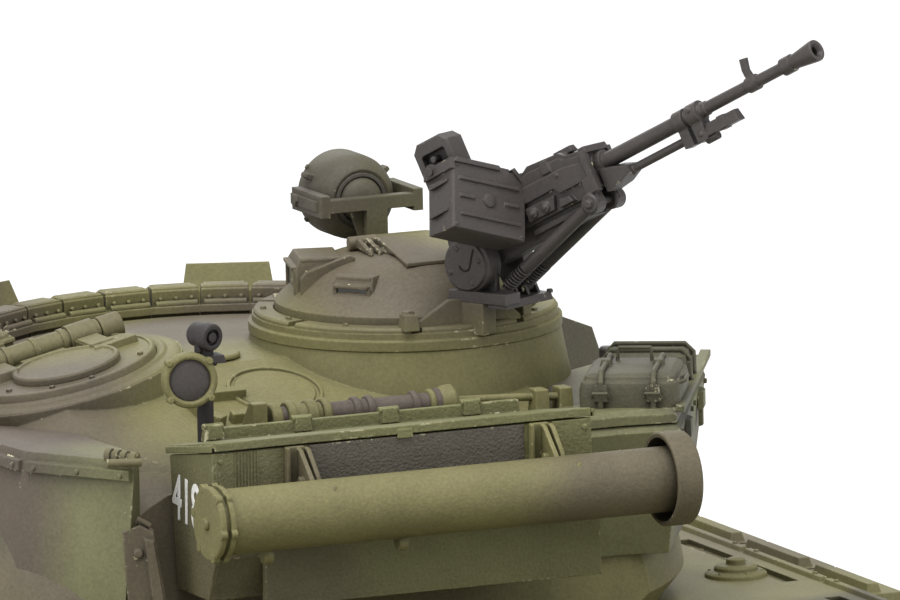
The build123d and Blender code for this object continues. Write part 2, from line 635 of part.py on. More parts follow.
side_bin_top = 127.0
side_bin_depth = 27.0
side_bin_taper = 6.0
right_bin_plan = ((38.5, -62), (49, -62), (59, -64), (87, -12.5), (76, -4), (50, -20))
left_bin_plan = ((-47, -65.5), (-60, -46), (-64, -8), (-50, -6), (-47, -30))
with BuildPart() as casting_cut:
    add(casting(0.2))
    split(bisect_by=rear_cut.offset(-0.2), keep=Keep.TOP)
    with Locations(hatch_plane.offset(-14)):
        Cylinder(hatch_ring_r + 0.3, 20, align=on_face)
with BuildPart() as side_bins:
    for plan in (right_bin_plan, left_bin_plan):
        with BuildSketch(Plane.XY.offset(side_bin_top)):
            Polygon(*[on_turret(x, y, 0)[:2] for x, y in plan], align=None)
        extrude(amount=-side_bin_depth, taper=side_bin_taper)
    chamfer(side_bins.faces().filter_by(Axis.Z).group_by(Axis.Z)[-1].edges(), length=1.2)
    add(casting_cut.part, mode=Mode.SUBTRACT)
save(side_bins, "side_bins")

snorkel_ends = (-41.0, 48.0)
with BuildPart() as snorkel_tube:
    rod(snorkel_r, on_turret(snorkel_ends[0], snorkel_y, snorkel_z), on_turret(snorkel_ends[1], snorkel_y, snorkel_z))
    for x in (snorkel_ends[0] - 1.6, snorkel_ends[0] + 1.2):
        rod(snorkel_r + 0.9, on_turret(x, snorkel_y, snorkel_z), on_turret(x + 1.6, snorkel_y, snorkel_z))
    rod(snorkel_r + 2.4, on_turret(45, snorkel_y, snorkel_z), on_turret(52, snorkel_y, snorkel_z))
    rod(snorkel_r + 1.4, on_turret(47, snorkel_y, snorkel_z), on_turret(53, snorkel_y, snorkel_z), Mode.SUBTRACT)
    rod(snorkel_r, on_turret(46, snorkel_y, snorkel_z), on_turret(49, snorkel_y, snorkel_z))
save(snorkel_tube, "snorkel_tube")

bracket_xs = (-21.0, 26.0)
with BuildPart() as snorkel_brackets:
    for x in bracket_xs:
        block((x - 2, x + 2), on_span(bin_rear - 1.2, bin_rear), (bin_bottom + 11.2, bin_top - 1))
        block((x - 0.8, x + 0.8), on_span(snorkel_y, bin_rear - 1), (snorkel_z - 3, bin_top - 3))
        rod(1.3, on_turret(x - 2.4, bin_rear - 2, bin_top - 4), on_turret(x + 2.4, bin_rear - 2, bin_top - 4))
    rod(snorkel_r, on_turret(-60, snorkel_y, snorkel_z), on_turret(60, snorkel_y, snorkel_z), Mode.SUBTRACT)
save(snorkel_brackets, "snorkel_brackets")

# Explosive armour boxes: a curved row over the roof's front and wedges on both cheeks.
row_r = 50.0
row_step = 11.0
roof_row = range(-4, 5)
cheek_turns = (22.0, 42.0, 62.0)
cheek_spread = radians(9.3)    # half the angle that one wedge fills
cheek_wedges = []
for side_sign in sides.values():
    for turn in cheek_turns:
        bearing = side_sign * radians(turn)
        aim = Vector(sin(bearing), cos(bearing), 0)
        along = Vector(aim.Y, -aim.X, 0)
        spot = Vector(*on_turret(0, 0, turret_base_z + 2)) + aim * (turret_r - 6)
        edges = [2 * turret_r * Vector(sin(bearing + turn_off), cos(bearing + turn_off), 0)
                 for turn_off in (-cheek_spread, cheek_spread)]
        with BuildPart() as wedge:
            with BuildSketch(Plane(origin=spot + along * -turret_r / 2, x_dir=aim, z_dir=along)):
                Polygon((0, 8), (16, 0), (24, 5), (12, 36), (2, 40), (-14, 44), (-14, 39), (-6, 34), align=None)
            extrude(amount=turret_r)
            with BuildSketch(Plane.XY.offset(turret_base_z)):
                Polygon((0, turret_y), *[(corner.X, turret_y + corner.Y) for corner in edges], align=None)
            extrude(amount=turret_r, mode=Mode.INTERSECT)
        cheek_wedges.append(wedge.part)
with BuildPart() as era_blocks:
    for n in roof_row:
        turn = 10 + n * row_step
        aim = Vector(sin(radians(turn)), cos(radians(turn)), 0)
        spot = Vector(*on_turret(0, 0, roof_z - 8)) + aim * row_r
        with Locations(Plane(origin=spot, x_dir=(aim.Y, -aim.X, 0), z_dir=(0, 0, 1))):
            Box(8.7, 5.0, 10.6, align=on_face)
    chamfer(era_blocks.faces().filter_by(Axis.Z).group_by(Axis.Z)[-1].edges(), length=0.7)
    for wedge_part in cheek_wedges:
        add(wedge_part)
    add(casting_cut.part, mode=Mode.SUBTRACT)
    block((-port_half - 3, port_half + 3), on_span(40, 130), (turret_base_z - 5, gun_z + 16), Mode.SUBTRACT)
save(era_blocks, "era_blocks")

mast_x, mast_y = -28.0, -51.0
with BuildPart() as sensor_mast:
    rod(1.55, on_turret(mast_x, mast_y, roof_z - 14), on_turret(mast_x, mast_y, roof_z + 9))
    rod(2.3, on_turret(mast_x, mast_y, roof_z + 6), on_turret(mast_x, mast_y, roof_z + 7.4))
    rod(2.0, on_turret(mast_x, mast_y - 2.6, roof_z + 11), on_turret(mast_x, mast_y + 2.6, roof_z + 11))
    block((mast_x - 1.2, mast_x + 1.2), on_span(mast_y - 1.2, mast_y + 1.6), (roof_z + 8, roof_z + 11))
    rod(5.0, on_turret(mast_x - 4.6, mast_y - 4.0, 137.5), on_turret(mast_x - 4.6, mast_y - 0.4, 137.5))
    block((mast_x - 3.0, mast_x), on_span(mast_y - 0.8, mast_y + 0.8), (135.5, 138.5))
    add(casting_cut.part, mode=Mode.SUBTRACT)
save(sensor_mast, "sensor_mast")


lid_inner = hatch_knuckles[1][0] - clear
with BuildPart() as gunner_hatch:
    with Locations(hatch_plane.offset(-1)):
        Cylinder(hatch_bore_r - clear, 1 + hatch_sill + clear, align=on_face)
    with Locations(hatch_plane.offset(hatch_sill + clear)):
        with Locations((0, -2, 0)):
            Cylinder(17.5, 2.0, align=on_face)
    with Locations(hatch_plane.offset(hatch_sill + 2.0)):
        with Locations((0, -6, 0)):
            Cylinder(9.5, 1.0, align=on_face)
    with Locations(hatch_plane):
        with Locations((0, hinge_back + 6, 0)):
            Box(40, 12, 40, mode=Mode.SUBTRACT)
        with Locations((0, hinge_back, hatch_hinge_z)):
            Cylinder(hinge_eye_r + 0.3, 2 * lid_inner, rotation=(0, 90, 0))
            Cylinder(hinge_pin_r, 2 * hatch_knuckles[1][1], rotation=(0, 90, 0))
        for x in (-9, 9):
            with Locations((x, hinge_back - 5, hatch_sill + 2.0)):
                Box(4, 9, 3)
        for x in (-15, 15):
            with Locations((x, hinge_back, hatch_sill + 0.5)):
                Box(4.8, 6.6, 6.0, mode=Mode.SUBTRACT)
    with Locations(hatch_plane):
        with Locations((0, hinge_back, hatch_hinge_z)):
            Cylinder(hinge_pin_r, 2 * hatch_knuckles[1][1], rotation=(0, 90, 0))
save(gunner_hatch, "gunner_hatch")

# ---- Main gun ----
mantlet_r = 10.0
root_r = 7.0
sleeve_start = turret_y + gun_pivot + 32.0
extractor = (sleeve_start + 105.0, sleeve_start + 142.0)
with BuildPart() as gun_mantlet:
    rod(mantlet_r, on_turret(clear - port_half, gun_pivot, gun_z), on_turret(port_half - clear, gun_pivot, gun_z))
    rod(trunnion_r, on_turret(-trunnion_eye[1], gun_pivot, gun_z), on_turret(trunnion_eye[1], gun_pivot, gun_z))
    block((-11, 11), on_span(gun_pivot, gun_pivot + 24), (gun_z - 8.5, gun_z + 8.5))
    fillet(gun_mantlet.faces().sort_by(Axis.Y)[-1].edges(), radius=3.0)
    rod(root_r + play, on_turret(0, gun_pivot + 4, gun_z), on_turret(0, gun_pivot + 30, gun_z), Mode.SUBTRACT)
save(gun_mantlet, "gun_mantlet")

with BuildPart() as gun_barrel:
    rod(root_r, on_turret(0, gun_pivot + 4, gun_z), (0, sleeve_start, gun_z))
    rod(barrel_r, (0, sleeve_start, gun_z), (0, muzzle_y, gun_z))
    rod(barrel_r + 2.1, (0, extractor[0], gun_z), (0, extractor[1], gun_z))
    chamfer(gun_barrel.edges().filter_by(GeomType.CIRCLE).filter_by(
        lambda edge: edge.radius > barrel_r + 2).group_by(Axis.Y)[-1], length=1.6)
    for band_y in (sleeve_start + 34, sleeve_start + 72, sleeve_start + 98, muzzle_y - 42):
        rod(barrel_r + 0.5, (0, band_y, gun_z), (0, band_y + 3, gun_z))
    rod(barrel_r + 0.6, (0, muzzle_y - 7, gun_z), (0, muzzle_y, gun_z))
    rod(3.9, (0, muzzle_y - 30, gun_z), (0, muzzle_y, gun_z), Mode.SUBTRACT)
save(gun_barrel, "gun_barrel")

# ---- Cupola ----
heading = radians(mg_heading)
rise = radians(mg_elevation)
mg_pivot = Vector(*on_turret(cupola_x + 7.7, cupola_y - 22.0, cupola_z + 11.4))
mg_forward = Vector(sin(heading) * cos(rise), cos(heading) * cos(rise), sin(rise))
mg_right = Vector(cos(heading), -sin(heading), 0)
mg_up = mg_right.cross(mg_forward)
mg_frame = Plane(origin=mg_pivot, x_dir=mg_forward, z_dir=mg_up)
mount_frame = Plane(origin=(mg_pivot.X, mg_pivot.Y, 0), x_dir=(sin(heading), cos(heading), 0), z_dir=(0, 0, 1))
cheek_near = (4.2, 8.0)       # to the right of the bore, where the elevation drum is
cheek_far = (-6.6, -4.2)
mount_z = cupola_z + 4.8
lamp = on_turret(30.0, 16.5, 156.5)
lamp_r = 7.8
lamp_pin_r = 1.0
yoke_y = on_span(5.6, 7.4)
dome_top = cupola_z + 11.4
cover_hinge_x = cupola_x + 12.0
cover_hinge_z = dome_top + 0.9
cover_pin_r = 0.7


def gun_point(ahead, right, above):
    """A point given from the machine gun's elevation axis, along, across and above its bore."""
    return tuple(mg_pivot + mg_forward * ahead + mg_right * right + mg_up * above)


def gun_block(frame, ahead, right, above, mode=Mode.ADD):
    """A box in the gun's own frame, or in its mount's level frame."""
    spans = (ahead, (-right[1], -right[0]), above)
    with Locations(frame):
        with Locations(tuple((low + high) / 2 for low, high in spans)):
            Box(*(high - low for low, high in spans), mode=mode)


with BuildPart() as cupola:
    axis_point = on_turret(cupola_x, cupola_y, 0)
    with BuildSketch(Plane(origin=axis_point, x_dir=(1, 0, 0), z_dir=(0, -1, 0))):
        with BuildLine():
            Polyline((0, dome_top), (9, dome_top - 0.5))
            ThreePointArc((9, dome_top - 0.5), (14.5, dome_top - 1.8), (18.4, dome_top - 4.2))
            Polyline((18.4, dome_top - 4.2), (23.5, cupola_z + 2.2), (23.5, cupola_z), (cupola_r, cupola_z),
                     (cupola_r, cone_top + clear), (cupola_bore_r, cone_top + clear),
                     (cupola_bore_r, cone_top - 10), (17.5, cone_top - 10), (17.5, cupola_z + 1),
                     (15.5, dome_top - 5), (8.0, dome_top - 2.6), (0, dome_top - 2.6), (0, dome_top))
        make_face()
    revolve(axis=Axis(axis_point, (0, 0, 1)))
    for frame_turn, reach, width, depth, low, high in (
        (232, 16.0, 7.0, 6.0, 3.0, 8.6), (286, 16.5, 12.0, 6.0, 1.0, 10.6), (330, 17.0, 7.0, 5.0, 2.0, 8.4),
        (20, 17.0, 7.0, 5.0, 2.0, 8.4),
    ):
        aim = Vector(sin(radians(frame_turn)), cos(radians(frame_turn)), 0)
        spot = Vector(*on_turret(cupola_x, cupola_y, cupola_z + low)) + aim * reach
        with Locations(Plane(origin=spot, x_dir=(aim.Y, -aim.X, 0), z_dir=(0, 0, 1))):
            Box(width, depth, high - low, align=on_face)
    for right in (cheek_near, cheek_far):
        gun_block(mount_frame, (-4.5, 3.7), right, (cupola_z - 1, mount_z))
    block((29.0, 33.0), yoke_y, (dome_top - 4, lamp[2] + 1))
    block((lamp[0] - lamp_r - 2.2, lamp[0] + lamp_r + 2.2), yoke_y, (lamp[2] - 1.2, lamp[2] + 1.2))
    for sign in sides.values():
        block((lamp[0] + sign * (lamp_r + 0.4), lamp[0] + sign * (lamp_r + 2.2)),
              (yoke_y[0], lamp[1] + 2.5), (lamp[2] - 2.0, lamp[2] + 2.0))
    rod(lamp_pin_r + play, (lamp[0] - 12, lamp[1], lamp[2]), (lamp[0] + 12, lamp[1], lamp[2]), Mode.SUBTRACT)
    rod(7.5, on_turret(cupola_x, cupola_y, dome_top - 4), on_turret(cupola_x, cupola_y, dome_top + 1),
        Mode.SUBTRACT)
    for sign in sides.values():
        block((cover_hinge_x - 1.2, cover_hinge_x + 1.2),
              (turret_y + cupola_y + sign * 3, turret_y + cupola_y + sign * 5), (dome_top - 3, cover_hinge_z + 1))
    rod(cover_pin_r + play, (cover_hinge_x, turret_y + cupola_y - 8, cover_hinge_z),
        (cover_hinge_x, turret_y + cupola_y + 8, cover_hinge_z), Mode.SUBTRACT)
save(cupola, "cupola")

with BuildPart() as commander_hatch:
    rod(9.2, on_turret(cupola_x, cupola_y, dome_top + clear), on_turret(cupola_x, cupola_y, dome_top + 1.8))
    chamfer(commander_hatch.faces().sort_by(Axis.Z)[-1].edges(), length=0.6)
    rod(7.2, on_turret(cupola_x, cupola_y, dome_top - 1.5), on_turret(cupola_x, cupola_y, dome_top + clear))
    block((cupola_x + 7, cover_hinge_x), (turret_y + cupola_y - 2.7, turret_y + cupola_y + 2.7),
          (dome_top + clear, dome_top + 1.6))
    rod(1.0, (cover_hinge_x, turret_y + cupola_y - 2.7, cover_hinge_z),
        (cover_hinge_x, turret_y + cupola_y + 2.7, cover_hinge_z))
    rod(cover_pin_r, (cover_hinge_x, turret_y + cupola_y - 5, cover_hinge_z),
        (cover_hinge_x, turret_y + cupola_y + 5, cover_hinge_z))
save(commander_hatch, "commander_hatch")

with BuildPart() as searchlight:
    for radius, low, high in ((lamp_r, -4.5, 6.5), (6.2, -5.9, -4.5), (3.2, -7.1, -5.9)):
        rod(radius, (lamp[0], lamp[1] + low, lamp[2]), (lamp[0], lamp[1] + high, lamp[2]))
    rod(lamp_r - 1, (lamp[0], lamp[1] + 5, lamp[2]), (lamp[0], lamp[1] + 7, lamp[2]), Mode.SUBTRACT)
    rod(lamp_pin_r, (lamp[0] - lamp_r - 2.2, lamp[1], lamp[2]), (lamp[0] + lamp_r + 2.2, lamp[1], lamp[2]))
save(searchlight, "searchlight")

drum_r = 4.9
mg_pin_r = 1.6
with BuildPart() as gun_mount:
    gun_block(mount_frame, (-3.2, 4.6), cheek_near, (mount_z, mg_pivot.Z))
    gun_block(mount_frame, (3.9, 9.0), cheek_near, (cupola_z + 2.2, mount_z + 2))
    gun_block(mount_frame, (0.2, 3.4), cheek_far, (mount_z, mg_pivot.Z))
    gun_block(mount_frame, (2.0, 9.0), cheek_far, (mount_z, mount_z + 1.5))
    gun_block(mount_frame, (3.9, 9.0), cheek_far, (cupola_z + 2.2, mount_z + 1))
    gun_block(mount_frame, (6.5, 9.0), (cheek_far[0], cheek_near[1]), (cupola_z + 2.2, cupola_z + 3.6))
    rod(drum_r, gun_point(0, cheek_near[0], 0), gun_point(0, cheek_near[1], 0))
    rod(4.2, gun_point(0, cheek_near[1], 0), gun_point(0, cheek_near[1] + 0.6, 0))
    rod(3.2, gun_point(0, cheek_far[0], 0), gun_point(0, cheek_far[1], 0))
    rod(mg_pin_r + play, gun_point(0, -12, 0), gun_point(0, cheek_near[1] - 0.6, 0), Mode.SUBTRACT)
save(gun_mount, "gun_mount")

with BuildPart() as machine_gun:
    gun_block(mg_frame, (mg_rear, mg_front), (-mg_half, mg_half), (1.0, 9.0))
    gun_block(mg_frame, (-3, 27), (-2.6, 2.6), (-1.6, 1.0))
    chamfer(machine_gun.edges().filter_by(Axis(mg_pivot, mg_forward)).group_by(
        Axis(mg_pivot, mg_up))[-1], length=1.2)
    rod(mg_pin_r, gun_point(0, cheek_far[0] + 0.2, 0), gun_point(0, cheek_near[1] - 0.8, 0))
    rod(1.5, gun_point(mg_front, 0, mg_bore_height), gun_point(mg_muzzle, 0, mg_bore_height))
    rod(2.1, gun_point(mg_front, 0, mg_bore_height), gun_point(mg_front + 3, 0, mg_bore_height))
    with Locations(Plane(origin=gun_point(mg_muzzle - 6, 0, mg_bore_height), z_dir=mg_forward)):
        Cone(1.4, 2.3, 6, align=on_face)
    rod(1.1, gun_point(mg_front - 1, 0, mg_bore_height - 3.6), gun_point(58, 0, mg_bore_height - 3.6))
    gun_block(mg_frame, (51, 55), (-1.6, 1.6), (mg_bore_height - 5.0, mg_bore_height + 1.9))
    gun_block(mg_frame, (71, 72.6), (-0.5, 0.5), (mg_bore_height, mg_bore_height + 4.6))
    rod(1.5, gun_point(1.0, 0, -5.6), gun_point(27.5, 0, 0.3))
    rod(0.9, gun_point(mg_muzzle - 5, 0, mg_bore_height), gun_point(mg_muzzle + 1, 0, mg_bore_height),
        Mode.SUBTRACT)
save(machine_gun, "machine_gun")

# The ammunition box sits across the gun, rolled a little on its bracket.
box_half, box_rise, box_deep = 7.8, 6.4, 8.4
box_across = Vector(0.953, 0.108, -0.282)
box_facing = Vector(0.220, -0.887, 0.406)
box_frame = Plane(origin=gun_point(12.9, 11.0, 7.9), x_dir=box_across, z_dir=box_facing)
with BuildPart() as ammo_box:
    with BuildSketch(box_frame):
        Polygon((-box_half, -box_rise), (box_half, -box_rise), (box_half, box_rise - 2.6),
                (box_half - 2.4, box_rise), (-box_half, box_rise), align=None)
    extrude(amount=-box_deep)
    fillet(ammo_box.edges().filter_by(Axis(box_frame.origin, box_facing)), radius=0.8)
    with BuildSketch(box_frame.offset(-box_deep)):
        with Locations((-7.2, 7.6)):
            RectangleRounded(9.0, 9.6, 1.6)
    extrude(amount=-1.8)
    gun_block(mg_frame, (mg_rear - 2, mg_front), (-mg_half, mg_half + 0.1), (-4, 14), Mode.SUBTRACT)
    gun_block(mg_frame, (6, 11), (mg_half, 6.4), (4.5, 8.5))
save(ammo_box, "ammo_box")
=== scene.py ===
"""A 1:16 remote-control battle tank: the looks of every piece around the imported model."""

import json
import random
from math import atan2, cos, pi, radians, sin

import bmesh
import bpy
from mathutils import Matrix, Vector


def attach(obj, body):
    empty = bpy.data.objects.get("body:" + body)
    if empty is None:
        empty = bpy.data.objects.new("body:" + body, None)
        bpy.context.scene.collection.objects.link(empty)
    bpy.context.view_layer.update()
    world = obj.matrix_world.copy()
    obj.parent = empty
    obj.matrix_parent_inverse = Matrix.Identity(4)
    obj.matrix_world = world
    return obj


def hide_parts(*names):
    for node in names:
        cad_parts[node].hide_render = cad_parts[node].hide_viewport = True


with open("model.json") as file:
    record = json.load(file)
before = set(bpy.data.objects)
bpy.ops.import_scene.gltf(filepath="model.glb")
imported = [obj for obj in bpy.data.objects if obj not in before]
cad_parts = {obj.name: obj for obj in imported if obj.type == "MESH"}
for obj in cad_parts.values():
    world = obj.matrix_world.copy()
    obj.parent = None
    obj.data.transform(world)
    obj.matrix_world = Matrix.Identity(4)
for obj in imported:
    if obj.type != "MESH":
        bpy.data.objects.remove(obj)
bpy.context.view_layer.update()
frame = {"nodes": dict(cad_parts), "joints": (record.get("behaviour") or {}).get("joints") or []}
nodes = frame["nodes"]
joints = {joint["name"]: joint for joint in frame["joints"]}

# ---- Viewpoint ----
# A long lens, four metres off, looks down over the back of the turret from the rear left.
# It is aimed at the cupola, with the roof gun above it.
cupola_axis = Vector(joints["cupola_rotation"]["pos_m"])
sight_line = Vector((0.390, 0.9056, -0.1668)).normalized()
view_up = Vector((0.0868, 0.1442, 0.9857))
view_right = sight_line.cross(view_up).normalized()
view_up = view_right.cross(sight_line)
camera = bpy.data.objects.new("camera", bpy.data.cameras.new("camera"))
camera.data.lens = 880
camera_distance, aim_right, aim_up = 3.96, 0.0081, 0.00144
camera.data.clip_start = 0.05
camera_place = cupola_axis - sight_line * camera_distance + view_right * aim_right + view_up * aim_up
turn = Matrix((view_right, view_up, -sight_line)).transposed()
camera.matrix_world = Matrix.Translation(camera_place) @ turn.to_4x4()
bpy.context.scene.collection.objects.link(camera)
bpy.context.scene.camera = camera

# ---- Studio ----
# A white sweep under soft boxes: a wide one overhead, one at each side, and an even white
# surround that fills the shadows.
bpy.context.scene.view_settings.view_transform = "Standard"
world = bpy.data.worlds.new("white_surround")
world.use_nodes = True
world.node_tree.nodes["Background"].inputs["Color"].default_value = (1, 1, 1, 1)
world.node_tree.nodes["Background"].inputs["Strength"].default_value = 0.50
bpy.context.scene.world = world
for light_name, light_place, light_width, watts in (
    ("overhead_box", (-0.3, -0.5, 1.9), 1.6, 40),
    ("left_box", (-1.8, -0.6, 1.0), 1.1, 13),
    ("right_box", (1.6, -1.6, 0.9), 0.9, 9),
    ("back_box", (0.5, 2.2, 1.3), 1.4, 14),
):
    soft_box = bpy.data.objects.new(light_name, bpy.data.lights.new(light_name, "AREA"))
    soft_box.data.size = light_width
    soft_box.data.energy = watts
    soft_box.location = light_place
    towards_tank = Vector((0, 0, 0.1)) - Vector(light_place)
    soft_box.rotation_euler = towards_tank.to_track_quat("-Z", "Y").to_euler()
    soft_box.visible_camera = False
    bpy.context.scene.collection.objects.link(soft_box)
floor_half, floor_z = 30.0, -0.0003
floor_mesh = bpy.data.meshes.new("floor")
floor_mesh.from_pydata(
    [(-floor_half, -floor_half, floor_z), (floor_half, -floor_half, floor_z),
     (floor_half, floor_half, floor_z), (-floor_half, floor_half, floor_z)], [], [(0, 1, 2, 3)])
floor = bpy.data.objects.new("floor", floor_mesh)
floor_white = bpy.data.materials.new("floor_white")
floor_white.use_nodes = True
floor_white.node_tree.nodes["Principled BSDF"].inputs["Base Color"].default_value = (0.92, 0.92, 0.92, 1)
floor_white.node_tree.nodes["Principled BSDF"].inputs["Roughness"].default_value = 0.9
floor.data.materials.append(floor_white)
bpy.context.scene.collection.objects.link(floor)

# ---- Painted hull ----
# Two moulded shells and a deck plate, sprayed matt olive and then misted with soft brown patches.
# The paint is chipped to a pale undercoat, lightened at edges as rubbed paint and painted highlight,
# and darkened in corners with painted shade.


def step(tree, kind, inputs=(), **settings):
    """One step of a finish: a node with its settings; an input is a value or another step's output."""
    node = tree.nodes.new("ShaderNode" + kind)
    for key, value in settings.items():
        setattr(node, key, value)
    for key, value in dict(inputs).items():
        if isinstance(value, bpy.types.NodeSocket):
            tree.links.new(value, node.inputs[key])
        else:
            node.inputs[key].default_value = value
    return node


def effect(name, inputs, outputs):
    """An empty shader group with named inputs (with their usual values) and outputs."""
    tree = bpy.data.node_groups.new(name, "ShaderNodeTree")
    for label, value in inputs.items():
        kind = "NodeSocketColor" if isinstance(value, tuple) else "NodeSocketFloat"
        tree.interface.new_socket(label, in_out="INPUT", socket_type=kind).default_value = value
    for label, kind in outputs.items():
        tree.interface.new_socket(label, in_out="OUTPUT", socket_type="NodeSocket" + kind)
    return tree, tree.nodes.new("NodeGroupInput").outputs, tree.nodes.new("NodeGroupOutput").inputs


def use(tree, group, **inputs):
    """A material's own copy of an effect, with its values."""
    node = tree.nodes.new("ShaderNodeGroup")
    node.node_tree = group
    for label, value in inputs.items():
        socket = node.inputs[label.replace("_", " ")]
        if isinstance(value, bpy.types.NodeSocket):
            tree.links.new(value, socket)
        else:
            socket.default_value = value
    return node.outputs


def sums(tree, operation, *values):
    """One arithmetic step on values or outputs."""
    return step(tree, "Math", dict(enumerate(values)), operation=operation).outputs[0]


def blend_colours(tree, share, low, high, blend_type="MIX"):
    """Two colours mixed by a share."""
    node = step(tree, "Mix", {0: share, 6: low, 7: high}, data_type="RGBA", blend_type=blend_type)
    return node.outputs[2]


def band(tree, value, low, high):
    """A value brought from low..high to 0..1 with soft ends."""
    node = step(tree, "MapRange", {"Value": value, "From Min": low, "From Max": high},
                interpolation_type="SMOOTHSTEP")
    return node.outputs[0]


def noise(tree, place, scale, detail=2.0, roughness=0.5, offset=(0, 0, 0)):
    """Clouds of one size, in 1/m."""
    moved = step(tree, "VectorMath", {0: place, 1: offset}, operation="ADD").outputs[0]
    return step(tree, "TexNoise", {"Vector": moved, "Scale": scale, "Detail": detail,
                                   "Roughness": roughness}).outputs["Fac"]


# Rubbed lightens edges: partly worn paint, partly a painted highlight. Chips flake to the undercoat.
edge_wear_and_highlight, given, out = effect("edge wear and highlight", {"Width": 0.0006, "Chip Share": 0.5, "Chip Size": 900.0},
                               {"Rubbed And Highlit": "Float", "Chips": "Float"})
place = step(edge_wear_and_highlight, "TexCoord").outputs["Object"]
flat = step(edge_wear_and_highlight, "NewGeometry").outputs["Normal"]
rounded = step(edge_wear_and_highlight, "Bevel", {"Radius": given["Width"]}, samples=4).outputs[0]
likeness = step(edge_wear_and_highlight, "VectorMath", {0: flat, 1: rounded}, operation="DOT_PRODUCT").outputs["Value"]
edge = band(edge_wear_and_highlight, sums(edge_wear_and_highlight, "SUBTRACT", 1.0, likeness), 0.012, 0.16)
broken = noise(edge_wear_and_highlight, place, 260.0, 3.0, 0.7)
edge_wear_and_highlight.links.new(sums(edge_wear_and_highlight, "MULTIPLY", edge, band(edge_wear_and_highlight, broken, 0.34, 0.62)), out["Rubbed And Highlit"])
flakes = step(edge_wear_and_highlight, "TexNoise", {"Vector": place, "Scale": given["Chip Size"],
                                      "Detail": 3.0}).outputs["Fac"]
where = noise(edge_wear_and_highlight, place, 75.0, 2.0, 0.6, (3.1, 0.7, 1.9))
level = sums(edge_wear_and_highlight, "SUBTRACT", 0.86, sums(edge_wear_and_highlight, "MULTIPLY", given["Chip Share"], 0.17))
rim_flake = sums(edge_wear_and_highlight, "MULTIPLY", sums(edge_wear_and_highlight, "ADD", flakes, where), 0.62)
edge_chips = sums(edge_wear_and_highlight, "MULTIPLY", edge,
                  band(edge_wear_and_highlight, rim_flake, sums(edge_wear_and_highlight, "SUBTRACT", level, 0.02), level))
open_flake = band(edge_wear_and_highlight, sums(edge_wear_and_highlight, "MULTIPLY", flakes, where), 0.47, 0.50)
chips = sums(edge_wear_and_highlight, "MAXIMUM", edge_chips, sums(edge_wear_and_highlight, "MULTIPLY", open_flake, given["Chip Share"]))
edge_wear_and_highlight.links.new(chips, out["Chips"])

# Painted shade: the colour darkens where ambient occlusion finds nearby surfaces, in corners and recesses.
corner_shade, given, out = effect("painted corner shade", {"Reach": 0.005}, {"Painted Shade": "Float"})
shade = step(corner_shade, "AmbientOcclusion", {"Distance": given["Reach"]}, samples=4,
             only_local=True).outputs["AO"]
corner_shade.links.new(band(corner_shade, shade, 0.95, 0.35), out["Painted Shade"])

mist, given, out = effect("misted patches", {"Patch Size": 13.0, "Shift": 0.0},
                          {"Brown": "Float", "Dark": "Float", "Mottle": "Float"})
place = step(mist, "TexCoord").outputs["Object"]
moved = step(mist, "VectorMath", {0: place, 1: step(mist, "CombineXYZ", {0: given["Shift"]}).outputs[0]},
             operation="ADD").outputs[0]
for label, offset, low, high in (("Brown", (1.37, 0.2, 0.9), 0.50, 0.62),
                                 ("Dark", (5.2, 3.3, 0.4), 0.58, 0.68)):
    shifted = step(mist, "VectorMath", {0: moved, 1: offset}, operation="ADD").outputs[0]
    patch = step(mist, "TexNoise", {"Vector": shifted, "Scale": given["Patch Size"], "Detail": 1.2,
                                    "Roughness": 0.45}).outputs["Fac"]
    mist.links.new(band(mist, patch, low, high), out[label])
grit = sums(mist, "MULTIPLY", noise(mist, place, 1500.0, 2.0, 0.7), 0.6)
cloud = sums(mist, "MULTIPLY", noise(mist, place, 90.0, 3.0, 0.6), 0.4)
mist.links.new(sums(mist, "ADD", grit, cloud), out["Mottle"])

undercoat = (0.62, 0.58, 0.38, 1)
brown_mist = (0.098, 0.078, 0.058, 1)
dark_mist = (0.050, 0.045, 0.038, 1)


